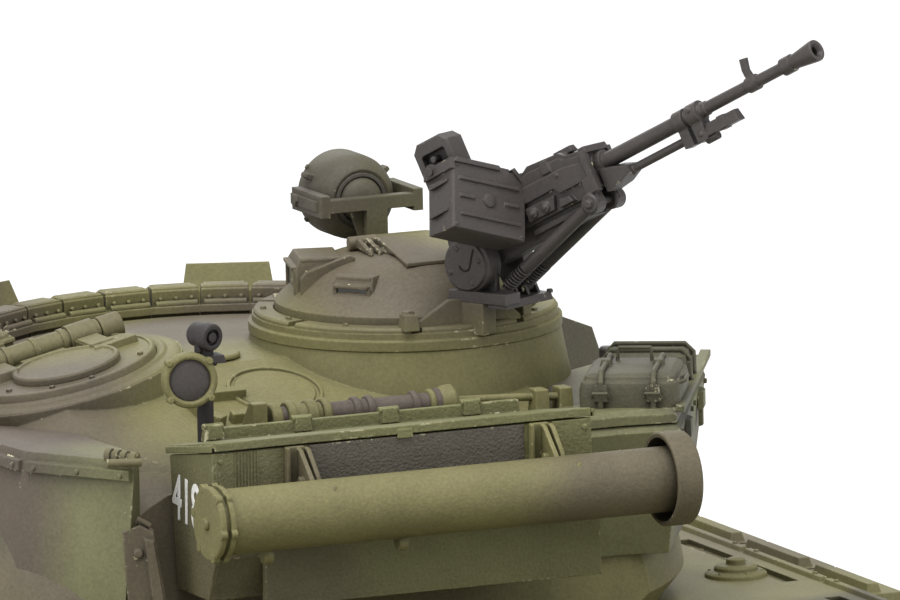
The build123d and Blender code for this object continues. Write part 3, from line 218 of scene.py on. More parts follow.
def sprayed(name, ground, patches=0.85, chip_share=0.5, grain=0.25, wear=0.0006, roughness=0.62,
            rubbed_and_highlit=1.55, shift=0.0):
    """Matt sprayed paint over a moulded or cast surface."""
    material = bpy.data.materials.new(name)
    material.use_nodes = True
    tree = material.node_tree
    shader = tree.nodes["Principled BSDF"]
    spray = use(tree, mist, Shift=shift)
    wear_and_highlight = use(tree, edge_wear_and_highlight, Width=wear, Chip_Share=chip_share)
    painted_shade = use(tree, corner_shade)["Painted Shade"]
    ground = (*ground, 1)
    colour = blend_colours(tree, sums(tree, "MULTIPLY", spray["Brown"], patches), ground, brown_mist)
    colour = blend_colours(tree, sums(tree, "MULTIPLY", spray["Dark"], patches * 0.8), colour, dark_mist)
    light = step(tree, "MapRange", {"Value": spray["Mottle"], "From Min": 0.3, "From Max": 0.7,
                                    "To Min": 0.80, "To Max": 1.22}).outputs[0]
    # Painted shade darkens occluded corners; edges are lightened as rubbed paint and painted highlight.
    light = sums(tree, "MULTIPLY", light, sums(tree, "SUBTRACT", 1.0, sums(tree, "MULTIPLY", painted_shade, 0.5)))
    light = sums(tree, "MULTIPLY", light,
                 sums(tree, "ADD", 1.0, sums(tree, "MULTIPLY", wear_and_highlight["Rubbed And Highlit"], rubbed_and_highlit - 1)))
    colour = step(tree, "VectorMath", {0: colour, "Scale": light}, operation="SCALE").outputs[0]
    colour = blend_colours(tree, wear_and_highlight["Chips"], colour, undercoat)
    tree.links.new(colour, shader.inputs["Base Color"])
    gloss = sums(tree, "SUBTRACT", roughness + 0.08, sums(tree, "MULTIPLY", spray["Mottle"], 0.16))
    tree.links.new(gloss, shader.inputs["Roughness"])
    shader.inputs["Specular IOR Level"].default_value = 0.38
    rounded = step(tree, "Bevel", {"Radius": 0.00035}, samples=4).outputs[0]
    place = step(tree, "TexCoord").outputs["Object"]
    pebbles = step(tree, "TexNoise", {"Vector": place, "Scale": 1900.0, "Detail": 2.0}).outputs["Fac"]
    pebbles = sums(tree, "SUBTRACT", pebbles, sums(tree, "MULTIPLY", wear_and_highlight["Chips"], 0.6))
    bump = step(tree, "Bump", {"Height": pebbles, "Normal": rounded, "Strength": grain, "Distance": 0.0002})
    tree.links.new(bump.outputs[0], shader.inputs["Normal"])
    return material


def finish_nodes(node_names, finish):
    """Gives pieces that stay as packed their finish."""
    for node_name in node_names:
        nodes[node_name].data.materials.clear()
        nodes[node_name].data.materials.append(finish)


olive = (0.163, 0.150, 0.062)
warm_grey = (0.058, 0.050, 0.047)
# The rubbed values lighten edges: partly rubbed paint, partly a painted highlight.
hull_paint = sprayed("hull_olive", olive)
steel_paint = sprayed("track_steel", (0.075, 0.068, 0.055), patches=0.25, chip_share=0.15, rubbed_and_highlit=1.9)
gun_paint = sprayed("gun_grey", warm_grey, patches=0.0, chip_share=0.22, grain=0.16, wear=0.0004,
                    rubbed_and_highlit=1.9, roughness=0.47)
finish_nodes(("lower_hull", "upper_hull", "side_skirts", "engine_deck", "turret_shell", "rear_bin",
              "rear_bin_lid", "side_bins", "snorkel_tube", "era_blocks", "gunner_hatch", "gun_mantlet",
              "gun_barrel", "cupola", "commander_hatch", "searchlight", "snorkel_brackets"), hull_paint)

# ---- Deck and fenders ----
# Over the tracks: filler caps of stacked discs beside the drain slots, strapped stowage boxes
# and bolted edge strips, moulded apart and glued on, laid out in millimetres in the tank's frame.
whole = Matrix.Scale(0.001, 4)


def set_on(parent, origin, facing, across=(1, 0, 0)):
    """A millimetre frame at a point of another one, its Z along facing and its X near across."""
    up = Vector(facing).normalized()
    if abs(Vector(across).normalized().dot(up)) > 0.99:
        across = (0, 1, 0)
    side = (Vector(across) - up * Vector(across).dot(up)).normalized()
    turned_axes = Matrix((side, up.cross(side), up)).transposed().to_4x4()
    return parent @ Matrix.Translation(Vector(origin)) @ turned_axes


def plate(work, low, high, place=whole, draft=0.0, draft_y=None):
    """A box between two corners, its top smaller all round by the draft."""
    dx, dy = draft, draft if draft_y is None else draft_y
    corners = [(low[0], low[1], low[2]), (high[0], low[1], low[2]), (high[0], high[1], low[2]),
               (low[0], high[1], low[2]), (low[0] + dx, low[1] + dy, high[2]),
               (high[0] - dx, low[1] + dy, high[2]), (high[0] - dx, high[1] - dy, high[2]),
               (low[0] + dx, high[1] - dy, high[2])]
    made = [work.verts.new(place @ Vector(corner)) for corner in corners]
    for face in ((3, 2, 1, 0), (4, 5, 6, 7), (0, 1, 5, 4), (1, 2, 6, 5), (2, 3, 7, 6), (3, 0, 4, 7)):
        work.faces.new([made[n] for n in face])


def rings(work, rows, closed=False):
    """Skins rows of equal point counts; a row of one point is a tip."""
    rows = [[work.verts.new(point) for point in row] for row in rows]
    for low, high in zip(rows, rows[1:] + ([rows[0]] if closed else [])):
        count = max(len(low), len(high))
        for n in range(count):
            following = (n + 1) % count
            ring = [low[n % len(low)], low[following % len(low)], high[following % len(high)],
                    high[n % len(high)]]
            work.faces.new([point for k, point in enumerate(ring) if point not in ring[:k]])
    for row in (rows[0], rows[-1]):
        if len(row) > 1 and not closed:
            work.faces.new(row)


def turned(work, profile, place=whole, steps=36, arc=None):
    """A turned piece: radius and height pairs spun round the frame's Z, over a full circle or an arc."""
    if arc:
        angles = [radians(arc[0] + (arc[1] - arc[0]) * n / steps) for n in range(steps + 1)]
        rings(work, [[place @ Vector((r * cos(a), r * sin(a), z)) for r, z in profile] for a in angles])
        return
    rows = []
    for r, z in profile:
        count = steps if r > 0 else 1
        rows.append([place @ Vector((r * cos(2 * pi * n / steps), r * sin(2 * pi * n / steps), z))
                     for n in range(count)])
    rings(work, rows, closed=profile[0] == profile[-1])


def cut_plate(work, outline, low, high, place=whole, draft=0.0):
    """A flat outline given thickness; the draft draws its top in towards the middle."""
    middle = sum((Vector(point) for point in outline), Vector((0, 0))) / len(outline)
    top = [Vector(point) + (middle - Vector(point)).normalized() * draft for point in outline]
    rings(work, [[place @ Vector((x, y, low)) for x, y in outline],
                 [place @ Vector((x, y, high)) for x, y in top]])


def rod(work, points, radius, place=whole, steps=12):
    """A round bar bent through points; the radius may change from point to point."""
    points = [Vector(point) for point in points]
    radii = radius if isinstance(radius, (list, tuple)) else [radius] * len(points)
    rows = []
    side = None
    for n, point in enumerate(points):
        ahead = (points[min(n + 1, len(points) - 1)] - points[max(n - 1, 0)]).normalized()
        if side is None:
            side = ahead.orthogonal().normalized()
        side = (side - ahead * side.dot(ahead)).normalized()
        other = ahead.cross(side)
        rows.append([place @ (point + (side * cos(a) + other * sin(a)) * radii[n])
                     for a in (2 * pi * k / steps for k in range(steps))])
    rings(work, rows)


def screws(work, spots, radius=0.8, height=0.6, place=whole, sides=6):
    """Bolt heads with a chamfered crown on the frame's XY plane, at X, Y, Z spots."""
    for x, y, z in spots:
        spot = place @ Matrix.Translation((x, y, z - 0.2))
        turned(work, [(radius, 0), (radius, 0.2 + height * 0.7), (radius * 0.78, 0.2 + height),
                      (0, 0.2 + height)], spot, sides)


def bolt_circle(radius, height, angles):
    """Spots on a circle round a frame's Z, at angles in degrees."""
    return [(radius * cos(radians(a)), radius * sin(radians(a)), height) for a in angles]


def fitted(work, name, body, finish, soften=0.18, crease=35, stands_for=()):
    """Turns a worked shape into a piece of the tank that rides on a body."""
    bmesh.ops.recalc_face_normals(work, faces=work.faces)
    mesh = bpy.data.meshes.new(name)
    work.to_mesh(mesh)
    work.free()
    mesh.shade_smooth()
    mesh.set_sharp_from_angle(angle=radians(crease))
    for finish_used in finish if isinstance(finish, list) else [finish]:
        mesh.materials.append(finish_used)
    piece = bpy.data.objects.new(name, mesh)
    bpy.context.scene.collection.objects.link(piece)
    if soften:
        rounding = piece.modifiers.new("softened_edges", "BEVEL")
        rounding.width = soften * 0.001
        rounding.segments = 2
        rounding.angle_limit = radians(crease)
        rounding.harden_normals = True
    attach(piece, body)
    if stands_for:
        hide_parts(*stands_for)
    return piece


work = bmesh.new()
for sign in (-1, 1):
    for y in (-72.7, -177.0, 9.0):
        cap = whole @ Matrix.Translation((sign * 90.8, y, 86.0))
        turned(work, [(0, 3.4), (1.0, 3.4), (1.7, 3.1), (1.8, 2.2), (3.4, 2.1), (3.9, 1.7), (4.0, 1.1),
                      (5.0, 1.0), (5.6, 0.6), (5.8, -0.3), (0, -0.3)], cap, 40)
        screws(work, bolt_circle(4.8, 0.9, range(30, 390, 60)), 0.35, 0.3, cap)
    for n in range(9):
        y = -262.0 + 35.2 * n
        plate(work, (sign * 102.3 - 1.1, y, 85.8), (sign * 102.3 + 1.1, y + 33.8, 86.8), whole, 0.5, 0.3)
        screws(work, [(sign * 102.3, y + 4, 86.8), (sign * 102.3, y + 29.8, 86.8)], 0.5, 0.35)
    for y in range(-286, 120, 26):
        screws(work, [(sign * 105.6, y, 68.0)], 0.6, 0.4)
    for y in (-297.5, 127.7):
        plate(work, (sign * 87 - 18, y, 50.5 if y < 0 else 57.5), (sign * 87 + 20, y + 2.9, 67.5), whole,
              0.2)
    for x in (72, 80, 88, 96, 104):
        plate(work, (sign * x - 0.5, 127.2, 58.2), (sign * x + 0.5, 130.9, 66.5), whole, 0.1)
        plate(work, (sign * x - 0.5, -297.9, 51.5), (sign * x + 0.5, -294.6, 66.5), whole, 0.1)
fitted(work, "fender_fittings", "hull", hull_paint, soften=0.12)

work = bmesh.new()
plate(work, (-101.5, -8.0, 85.9), (-74.5, 48.0, 93.0), whole, 0.8)
plate(work, (66.5, -8.0, 85.9), (101.0, 48.0, 93.0), whole, 0.8)
for x_low, x_high, y_low, y_high in ((-101.0, -69.0, -262.0, -216.0), (69.0, 93.0, -262.0, -218.0),
                                     (69.0, 93.0, -214.0, -184.0)):
    plate(work, (x_low, y_low, 85.9), (x_high, y_high, 92.0), whole, 1.0)
    plate(work, (x_low - 0.4, y_low - 0.4, 90.4), (x_high + 0.4, y_high + 0.4, 91.3), whole, 0.1)
    for y in (y_low + 9, y_high - 9):
        plate(work, (x_low - 0.8, y - 1.6, 86.4), (x_low + 0.6, y + 1.6, 91.8), whole, 0.2)
        plate(work, (x_high - 0.6, y - 1.6, 86.4), (x_high + 0.8, y + 1.6, 91.8), whole, 0.2)
        plate(work, (x_low + 3, y - 0.6, 91.8), (x_high - 3, y + 0.6, 92.7), whole, 0.3)
    screws(work, [(x, y, 92.0) for x in (x_low + 4, x_high - 4) for y in (y_low + 4, y_high - 4)], 0.6, 0.4)
for x_mid in (-90.0, 90.0):
    for y in (2.0, 20.0, 38.0):
        plate(work, (x_mid - 13.0, y - 0.8, 92.6), (x_mid + 11.0, y + 0.8, 93.6), whole, 0.3)
        plate(work, (x_mid - 13.6, y - 1.2, 87.0), (x_mid - 12.2, y + 1.2, 93.4), whole, 0.2)
fitted(work, "fender_stowage", "hull", hull_paint)

# ---- Engine deck ----
# A lift-off cover: framed shutters over the radiators, ribbed covers on hinges, a round
# coolant cap, lifting eyes and grab rails, all moulded and sprayed with the hull.
work = bmesh.new()
for sign in (-1, 1):
    x_low, x_high = sorted((sign * 4.4, sign * 41.6))
    for y_low, y_high in ((-272.2, -270.6), (-228.4, -226.8)):
        plate(work, (x_low, y_low, 87.8), (x_high, y_high, 89.0), whole, 0.2)
    for x in (x_low, x_high - 1.4):
        plate(work, (x, -271.0, 87.8), (x + 1.4, -228.0, 89.0), whole, 0.2)
    for x in (x_low + 3, x_low + 18.6, x_high - 3):
        screws(work, [(x, -271.4, 89.0), (x, -227.6, 89.0)], 0.6, 0.4)
    for n in range(9):
        y = -270.0 + n * 4.6
        shutter = set_on(whole, ((x_low + x_high) / 2, y + 3.5, 88.2), (0, -0.5, 0.87))
        plate(work, (-17.0, -1.5, -0.3), (17.0, 1.5, 0.3), shutter)
    for n in range(5):
        y = -214.0 + n * 4.2
        plate(work, (x_low + 5.4, y, 89.3), (x_high - 1.6, y + 1.8, 90.3), whole, 0.4, 0.5)
    plate(work, (x_low + 3.2, -188.5, 87.9), (x_high - 2.0, -170.0, 89.4), whole, 0.5)
    for x in (x_low + 8, x_high - 8):
        plate(work, (x - 2.4, -171.0, 88.0), (x + 2.4, -166.0, 90.2), whole, 0.4)
        rod(work, [(x - 3.2, -168.4, 89.6), (x + 3.2, -168.4, 89.6)], 1.1)
    eye = whole @ Matrix.Translation((sign * 50, -220, 88.0))
    rod(work, [(-2.6, 0, -0.2), (-2.4, 0, 2.2), (0, 0, 3.4), (2.4, 0, 2.2), (2.6, 0, -0.2)], 0.6, eye)
    rod(work, [(sign * 49, -258, 88.4), (sign * 49, -256, 90.4), (sign * 49, -244, 90.4),
               (sign * 49, -242, 88.4)], 0.7)
turned(work, [(0, 3.0), (3.4, 3.0), (4.2, 2.6), (4.4, 1.4), (6.0, 1.2), (6.6, 0.6), (6.8, -0.2), (0, -0.2)],
       whole @ Matrix.Translation((0, -180, 88.0)), 40)
screws(work, [(x, y, 88.0) for x in (-55.5, 55.5) for y in range(-278, -150, 14)], 0.65, 0.45)
screws(work, [(x, y, 88.0) for x in range(-44, 48, 11) for y in (-279.0, -153.5)], 0.65, 0.45)
fitted(work, "engine_deck_fittings", "hull", hull_paint, soften=0.14)

# ---- Glacis and driver's place ----
# The sloped front carries rows of armour boxes, a splash guard, headlamps behind bar guards,
# towing hooks with spring latches and the driver's domed hatch with its periscope.
on_glacis = set_on(whole, (0, 62, 86), (0, 0.4789, 0.8779))
headlamp_x = 52.0
work = bmesh.new()
for row in range(4):
    for column in range(-3, 4):
        if row == 0 and column == 0:
            continue
        x, y = column * 16.6, 5.0 + row * 15.4
        plate(work, (x - 7.7, y, -0.2), (x + 7.7, y + 14.2, 3.0), on_glacis, 0.7)
        screws(work, [(x - 5.6, y + 7.1, 3.0), (x + 5.6, y + 7.1, 3.0)], 0.55, 0.4, on_glacis)
for sign in (-1, 1):
    guard = [(0.0, 67.6), (sign * 30, 69.6), (sign * 60, 72.6), (sign * 60, 71.4),
             (sign * 30, 68.2), (0.0, 66.2)]
    cut_plate(work, guard, -0.2, 2.6, on_glacis)
    hook = set_on(whole, (sign * 46, 116.0, 52.5), (0, 0.4789, 0.8779))
    rod(work, [(0, -5.0, 0.4), (0, -1.0, 3.0), (0, 3.6, 3.4), (0, 6.2, 1.4), (0, 4.6, -0.6), (0, 2.0, 0.4)],
        1.5, hook, 12)
    plate(work, (-3.6, -6.4, -0.4), (3.6, 1.6, 1.2), hook, 0.4)
    rod(work, [(-2.2, -3.2, 1.4), (-1.8, 0.4, 4.6), (0, 2.6, 5.2), (1.8, 0.4, 4.6), (2.2, -3.2, 1.4)],
        0.45, hook, 8)
    lamp_x = sign * headlamp_x
    for x in (-6.4, 6.4):
        rod(work, [(lamp_x + x, 80.0, 76.0), (lamp_x + x, 81.6, 92.6), (lamp_x + x, 78.0, 95.4),
                   (lamp_x + x, 68.0, 95.4), (lamp_x + x, 64.5, 85.6)], 0.7)
    for y, z in ((81.2, 88.0), (80.6, 94.4), (68.4, 95.4)):
        rod(work, [(lamp_x - 6.4, y, z), (lamp_x + 6.4, y, z)], 0.7)
    plate(work, (lamp_x - 2.2, 66.0, 80.0), (lamp_x + 2.2, 74.0, 87.0), whole, 0.4)
    turned(work, [(0, 6.8), (4.4, 6.8), (4.9, 6.4), (5.0, 5.2), (4.8, 0.0), (3.6, -2.4), (1.6, -3.4),
                  (0, -3.6)], set_on(whole, (lamp_x, 74.0, 88.6), (0, 1, -0.04)), 36)
driver_cover = whole @ Matrix.Translation((0, 43.0, 87.0))
turned(work, [(0, 3.6), (5.0, 3.4), (10.4, 2.6), (12.4, 1.8), (12.9, 0.6), (14.6, 0.5), (15.2, 0.0),
              (15.2, -1.2), (0, -1.2)], driver_cover, 56)
rod(work, [(-6, -2, 2.8), (-5.4, -2, 4.8), (5.4, -2, 4.8), (6, -2, 2.8)], 0.6, driver_cover)
screws(work, bolt_circle(13.9, 0.5, range(15, 375, 30)), 0.5, 0.4, driver_cover)
for side_x in (-7.8, 7.8):
    plate(work, (side_x - 4.6, 58.4, 86.0), (side_x + 4.6, 63.2, 90.0), whole, 0.5)
    plate(work, (side_x - 5.0, 57.8, 89.4), (side_x + 5.0, 63.8, 90.3), whole, 0.2)
fitted(work, "glacis_fittings", "hull", hull_paint)
dark_glass = bpy.data.materials.new("dark_glass")
dark_glass.use_nodes = True
tree = dark_glass.node_tree
place = step(tree, "TexCoord").outputs["Object"]
smear = noise(tree, place, 300.0, 3.0, 0.6)
tree.links.new(blend_colours(tree, smear, (0.006, 0.008, 0.009, 1), (0.022, 0.025, 0.022, 1)),
               tree.nodes["Principled BSDF"].inputs["Base Color"])
tree.links.new(step(tree, "MapRange", {"Value": smear, "To Min": 0.05, "To Max": 0.22}).outputs[0],
               tree.nodes["Principled BSDF"].inputs["Roughness"])
work = bmesh.new()
for sign in (-1, 1):
    turned(work, [(0, 7.2), (2.4, 7.1), (4.3, 6.75), (4.3, 6.5), (0, 6.5)],
           set_on(whole, (sign * headlamp_x, 74.0, 88.6), (0, 1, -0.04)), 36)
for side_x in (-7.8, 7.8):
    plate(work, (side_x - 3.8, 63.0, 87.0), (side_x + 3.8, 63.5, 89.2), whole)
fitted(work, "front_glasses", "hull", dark_glass, soften=0)

# ---- Rear plate ----
# Access covers with bolt rings over the final drives, two towing hooks, a pair of small tail
# lamps and a spare length of track links hung on the plate in clamps.
work = bmesh.new()
for sign in (-1, 1):
    hook = set_on(whole, (sign * 50, -285.0, 50.0), (0, -1, 0), (sign, 0, 0))
    plate(work, (-4.0, -6.0, -0.3), (4.0, 6.0, 1.6), hook, 0.5)
    rod(work, [(0, 3.4, 1.0), (0, 3.8, 4.4), (0, 1.0, 6.8), (0, -2.6, 6.0), (0, -3.6, 3.4)], 1.4, hook, 12)
    cover = set_on(whole, (sign * 25, -285.0, 58.0), (0, -1, 0))
    turned(work, [(0, 1.6), (7.0, 1.6), (7.6, 1.1), (9.6, 1.0), (10.2, 0.4), (10.2, -0.3),
                  (0, -0.3)], cover, 44)
    screws(work, bolt_circle(8.6, 1.0, range(0, 360, 36)), 0.55, 0.5, cover)
    lamp_box = set_on(whole, (sign * 96.0, -296.0, 73.0), (0, -1, 0))
    plate(work, (-4.4, -3.0, -3.4), (4.4, 3.0, 0.4), lamp_box, 0.4)
    turned(work, [(0, 1.5), (1.4, 1.4), (2.1, 1.0), (2.2, 0.2), (0, 0.2)], lamp_box, 24)
    plate(work, (sign * 96 - 0.7, -293.5, 67.5), (sign * 96 + 0.7, -291.5, 71.0), whole)
for n in range(5):
    x = -20.0 + 10.0 * n
    spare = set_on(whole, (x, -285.0, 76.2), (0, -1, 0))
    plate(work, (-4.2, -5.8, 0.0), (4.2, 5.8, 3.0), spare, 0.4)
    plate(work, (-1.0, -5.6, 2.8), (1.0, 5.6, 4.0), spare, 0.3)
    rod(work, [(-4.9, -5.2, 1.8), (-4.9, 5.2, 1.8)], 1.1, spare, 10)
for x in (-27.0, 27.0):
    plate(work, (x - 1.2, -289.8, 70.0), (x + 1.2, -284.8, 82.4), whole, 0.3)
fitted(work, "rear_fittings", "hull", hull_paint)

# ---- Side skirts ----
# Pressed armour boxes bolted along the front half, each with a shallow pressing and four
# bolts, and flat rubberised panels with seams and washers behind them.
work = bmesh.new()
for sign in (-1, 1):
    for n in range(7):
        front = 121.0 - n * 30.0
        face = set_on(whole, (sign * 118.0, front - 14.4, 67.5), (sign, 0, 0), (0, 1, 0))
        for y_low, y_high in ((-14.2, -1.0), (1.0, 14.2)):
            plate(work, (-12.6, y_low, -1.2), (12.6, y_high, -0.02), face, 0.8)
        for x in (-10.6, 10.6):
            screws(work, [(x, -11.0, -0.1), (x, 11.0, -0.1)], 0.9, 0.08, face)
        plate(work, (sign * 112.2 - 1.6, front - 27.0, 82.6),
              (sign * 112.2 + 1.6, front - 3.0, 84.6), whole, 0.6)
    for y in range(-280, -92, 24):
        panel = set_on(whole, (sign * 108.5, y + 12, 57.0), (sign, 0, 0), (0, 1, 0))
        plate(work, (-11.4, -10.6, -0.2), (11.4, 10.6, 0.5), panel, 0.3)
        screws(work, [(x, v, 0.5) for x in (-9.4, 9.4) for v in (-8.6, 8.6)], 0.8, 0.5, panel)
    plate(work, (sign * 108.6 - 0.7, -283.0, 65.6), (sign * 108.6 + 0.7, 114.0, 68.2), whole, 0.2)
fitted(work, "skirt_fittings", "hull", hull_paint, soften=0.12)

# ---- Tracks ----
# A hundred cast links a side on dry pins: a pad with a bar across it, windows for the sprocket
# teeth, knuckles that hinge on the next link and a guide horn. Dark steel, darkened in the
# corners with painted shade.
tyre_r, idler_r, drum_r, roller_r = 23.2, 17.0, 18.9, 5.0
running_gap = 0.3
track_x = 0.087                 # metres from the middle
link_count = 100
side_signs = {"left": -1, "right": 1}


def taut_loop(circles, count):
    """Evenly spaced spots and headings on a belt pulled round circles given as Y, Z and radius."""
    cloud = sorted({(round(y + r * cos(pi * n / 240), 5), round(z + r * sin(pi * n / 240), 5))
                    for y, z, r in circles for n in range(480)})
    outline = []
    for run in (cloud, cloud[::-1]):
        chain = []
        for point in run:
            while len(chain) > 1 and ((chain[-1][0] - chain[-2][0]) * (point[1] - chain[-2][1])
                                      - (chain[-1][1] - chain[-2][1]) * (point[0] - chain[-2][0])) <= 0:
                chain.pop()
            chain.append(point)
        outline += chain[:-1]
    corners = [Vector(point) for point in outline]
    runs = [(b - a).length for a, b in zip(corners, corners[1:] + corners[:1])]
    pitch = sum(runs) / count
    spots = []
    corner, walked = 0, 0.0
    for n in range(count):
        while walked + runs[corner] < n * pitch:
            walked += runs[corner]
            corner += 1
        here, ahead = corners[corner], corners[(corner + 1) % len(corners)]
        heading = (ahead - here).normalized()
        spots.append((here + heading * (n * pitch - walked), heading))
    return spots, pitch


def wheel_circles(side):
    """Where one side's wheels stand: Y, Z and radius with the running gap, in mm."""
    circles = []
    for joint_name, radius in ([(f"wheel_{side}_{n}_spin", tyre_r) for n in range(1, 7)]
                               + [(f"return_roller_{n}_spin", roller_r) for n in range(1, 4)]
                               + [(f"idler_{side}_spin", idler_r), (f"sprocket_{side}_spin", drum_r)]):
        place = joints[joint_name]["pos_m"]
        circles.append((place[1] * 1000, place[2] * 1000, radius + running_gap))
    return circles


spots, pitch = taut_loop(wheel_circles("right"), link_count)
half_pitch = pitch / 2
work = bmesh.new()
for low, high in ((-12.3, 12.3), (-18.0, -16.7), (16.7, 18.0)):
    plate(work, (low, -half_pitch + 1.0, 0.05), (high, half_pitch - 1.0, 2.7), whole, 0, 0.35)
plate(work, (-17.9, -0.95, 2.5), (17.9, 0.95, 3.45), whole, 0.4, 0.3)
for x in (-8.6, 8.6):
    for y in (-2.35, 2.35):
        plate(work, (x - 3.0, y - 0.45, 2.6), (x + 3.0, y + 0.45, 3.1), whole, 0.3, 0.15)
for row, segments in ((half_pitch, ((-17.9, -13.6), (-8.6, -3.4), (3.4, 8.6), (13.6, 17.9))),
                      (-half_pitch, ((-13.2, -9.0), (-3.0, 3.0), (9.0, 13.2)))):
    for low, high in segments:
        z = 1.5 if abs(low) < 13.4 and abs(high) < 13.4 else 1.85
        rod(work, [(low, row, z), (high, row, z)], 1.15, whole, 8)
        plate(work, (low, min(row, row * 0.6), z - 0.9), (high, max(row, row * 0.6), z + 0.9), whole)
for x in (-18.0, 18.0):
    rod(work, [(x * 0.98, half_pitch, 2.2), (x, half_pitch, 2.2)], 0.8, whole, 6)
horn = set_on(whole, (0, 0, 0.4), (0, 0, -1))
plate(work, (-1.9, -1.9, 0), (1.9, 1.9, 3.4), horn, 0.7, 1.1)
bmesh.ops.recalc_face_normals(work, faces=work.faces)
link_mesh = bpy.data.meshes.new("one_link")
work.to_mesh(link_mesh)
work.free()
for side, sign in side_signs.items():
    work = bmesh.new()
    for spot, heading in spots:
        outwards = Vector((0, heading.y, -heading.x))
        axes = Matrix((Vector((1, 0, 0)), outwards.cross(Vector((1, 0, 0))),
                       outwards)).transposed().to_4x4()
        link = link_mesh.copy()
        link.transform(Matrix.Translation((sign * track_x, spot.x / 1000, spot.y / 1000)) @ axes)
        work.from_mesh(link)
        bpy.data.meshes.remove(link)
    fitted(work, f"track_links_{side}", "hull", steel_paint, soften=0, crease=30,
           stands_for=[f"track_{side}"])
bpy.data.meshes.remove(link_mesh)

# ---- Road wheels ----
# Twin cast discs with eight ribs and a ring of hub nuts, sprayed olive, each with a black rubber
# tyre pressed on. They turn on the axle pins of the swing arms, whose caps carry six bolts.
rubber = bpy.data.materials.new("tyre_rubber")
rubber.use_nodes = True
tree = rubber.node_tree
place = step(tree, "TexCoord").outputs["Object"]
dust = band(tree, noise(tree, place, 120.0, 4.0, 0.65), 0.45, 0.75)
wear_and_highlight = use(tree, edge_wear_and_highlight, Width=0.0008, Chip_Share=0.0)["Rubbed And Highlit"]
# Tyre edges turn dusty brown through the rubbed mask: partly worn rubber, partly a painted highlight.
shade = sums(tree, "MAXIMUM", sums(tree, "MULTIPLY", dust, 0.35), sums(tree, "MULTIPLY", wear_and_highlight, 0.6))
tree.links.new(blend_colours(tree, shade, (0.012, 0.012, 0.012, 1), (0.060, 0.052, 0.040, 1)),
               tree.nodes["Principled BSDF"].inputs["Base Color"])
tree.links.new(step(tree, "MapRange", {"Value": dust, "To Min": 0.62, "To Max": 0.85}).outputs[0],
               tree.nodes["Principled BSDF"].inputs["Roughness"])
wheel_paint = sprayed("wheel_olive", olive, patches=0.3, chip_share=0.3, rubbed_and_highlit=1.7, shift=4.0)


def again(piece, name, body, matrix, stands_for=()):
    """A second copy of a piece at another place, riding on another body."""
    copy = bpy.data.objects.new(name, piece.data)
    copy.matrix_world = matrix
    bpy.context.scene.collection.objects.link(copy)
    for modifier in piece.modifiers:
        rounding = copy.modifiers.new(modifier.name, "BEVEL")
        rounding.width, rounding.segments = modifier.width, modifier.segments
        rounding.angle_limit, rounding.harden_normals = modifier.angle_limit, modifier.harden_normals
    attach(copy, body)
    if stands_for:
        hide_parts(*stands_for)
    return copy


def wheel_disc(work):
    """The painted part of a twin wheel round the frame's Z, outer face upwards."""
    turned(work, [(3.2, 13.6), (5.6, 13.6), (6.3, 13.2), (6.5, 11.6), (8.6, 11.2), (9.6, 10.4), (15.4, 9.0),
                  (16.8, 9.4), (17.5, 11.9), (18.2, 12.7), (19.6, 12.7), (20.0, 12.3), (20.0, 2.7),
                  (17.0, 2.7), (16.4, 5.5), (8.2, 6.5), (8.2, -6.5), (16.4, -5.5), (17.0, -2.7),
                  (20.0, -2.7), (20.0, -12.3), (19.6, -12.7), (18.2, -12.7), (17.4, -9.4), (9.6, -9.6),
                  (8.2, -10.4), (8.2, -14.8), (3.2, -14.8), (3.2, 13.6)], whole, 64)
    for n in range(8):
        arm = whole @ Matrix.Rotation(radians(45 * n), 4, "Z")
        cut_plate(work, [(8.4, 11.4), (17.4, 11.6), (17.4, 8.4), (8.4, 9.4)], -0.8, 0.8,
                  arm @ Matrix(((1, 0, 0, 0), (0, 0, 1, 0), (0, 1, 0, 0), (0, 0, 0, 1))))
        screws(work, [(7.5 * cos(radians(22.5)), 7.5 * sin(radians(22.5)), 11.5)], 0.7, 0.7, arm)
        turned(work, [(0, 0.3), (1.5, 0.3), (1.9, 0.0), (1.9, -0.3), (0, -0.3)],
               arm @ Matrix.Translation((13.2 * cos(radians(22.5)), 13.2 * sin(radians(22.5)), 9.6)), 16)


def wheel_tyre(work):
    """Both rubber tyres round the frame's Z."""
    for low, high in ((2.6, 12.9), (-12.9, -2.6)):
        turned(work, [(20.05, low), (22.4, low), (23.15, low + 0.8), (23.2, low + 2.0), (23.2, high - 2.0),
                      (23.15, high - 0.8), (22.4, high), (21.2, high), (20.9, high - 0.3),
                      (20.05, high - 0.3), (20.05, low)], whole, 72)


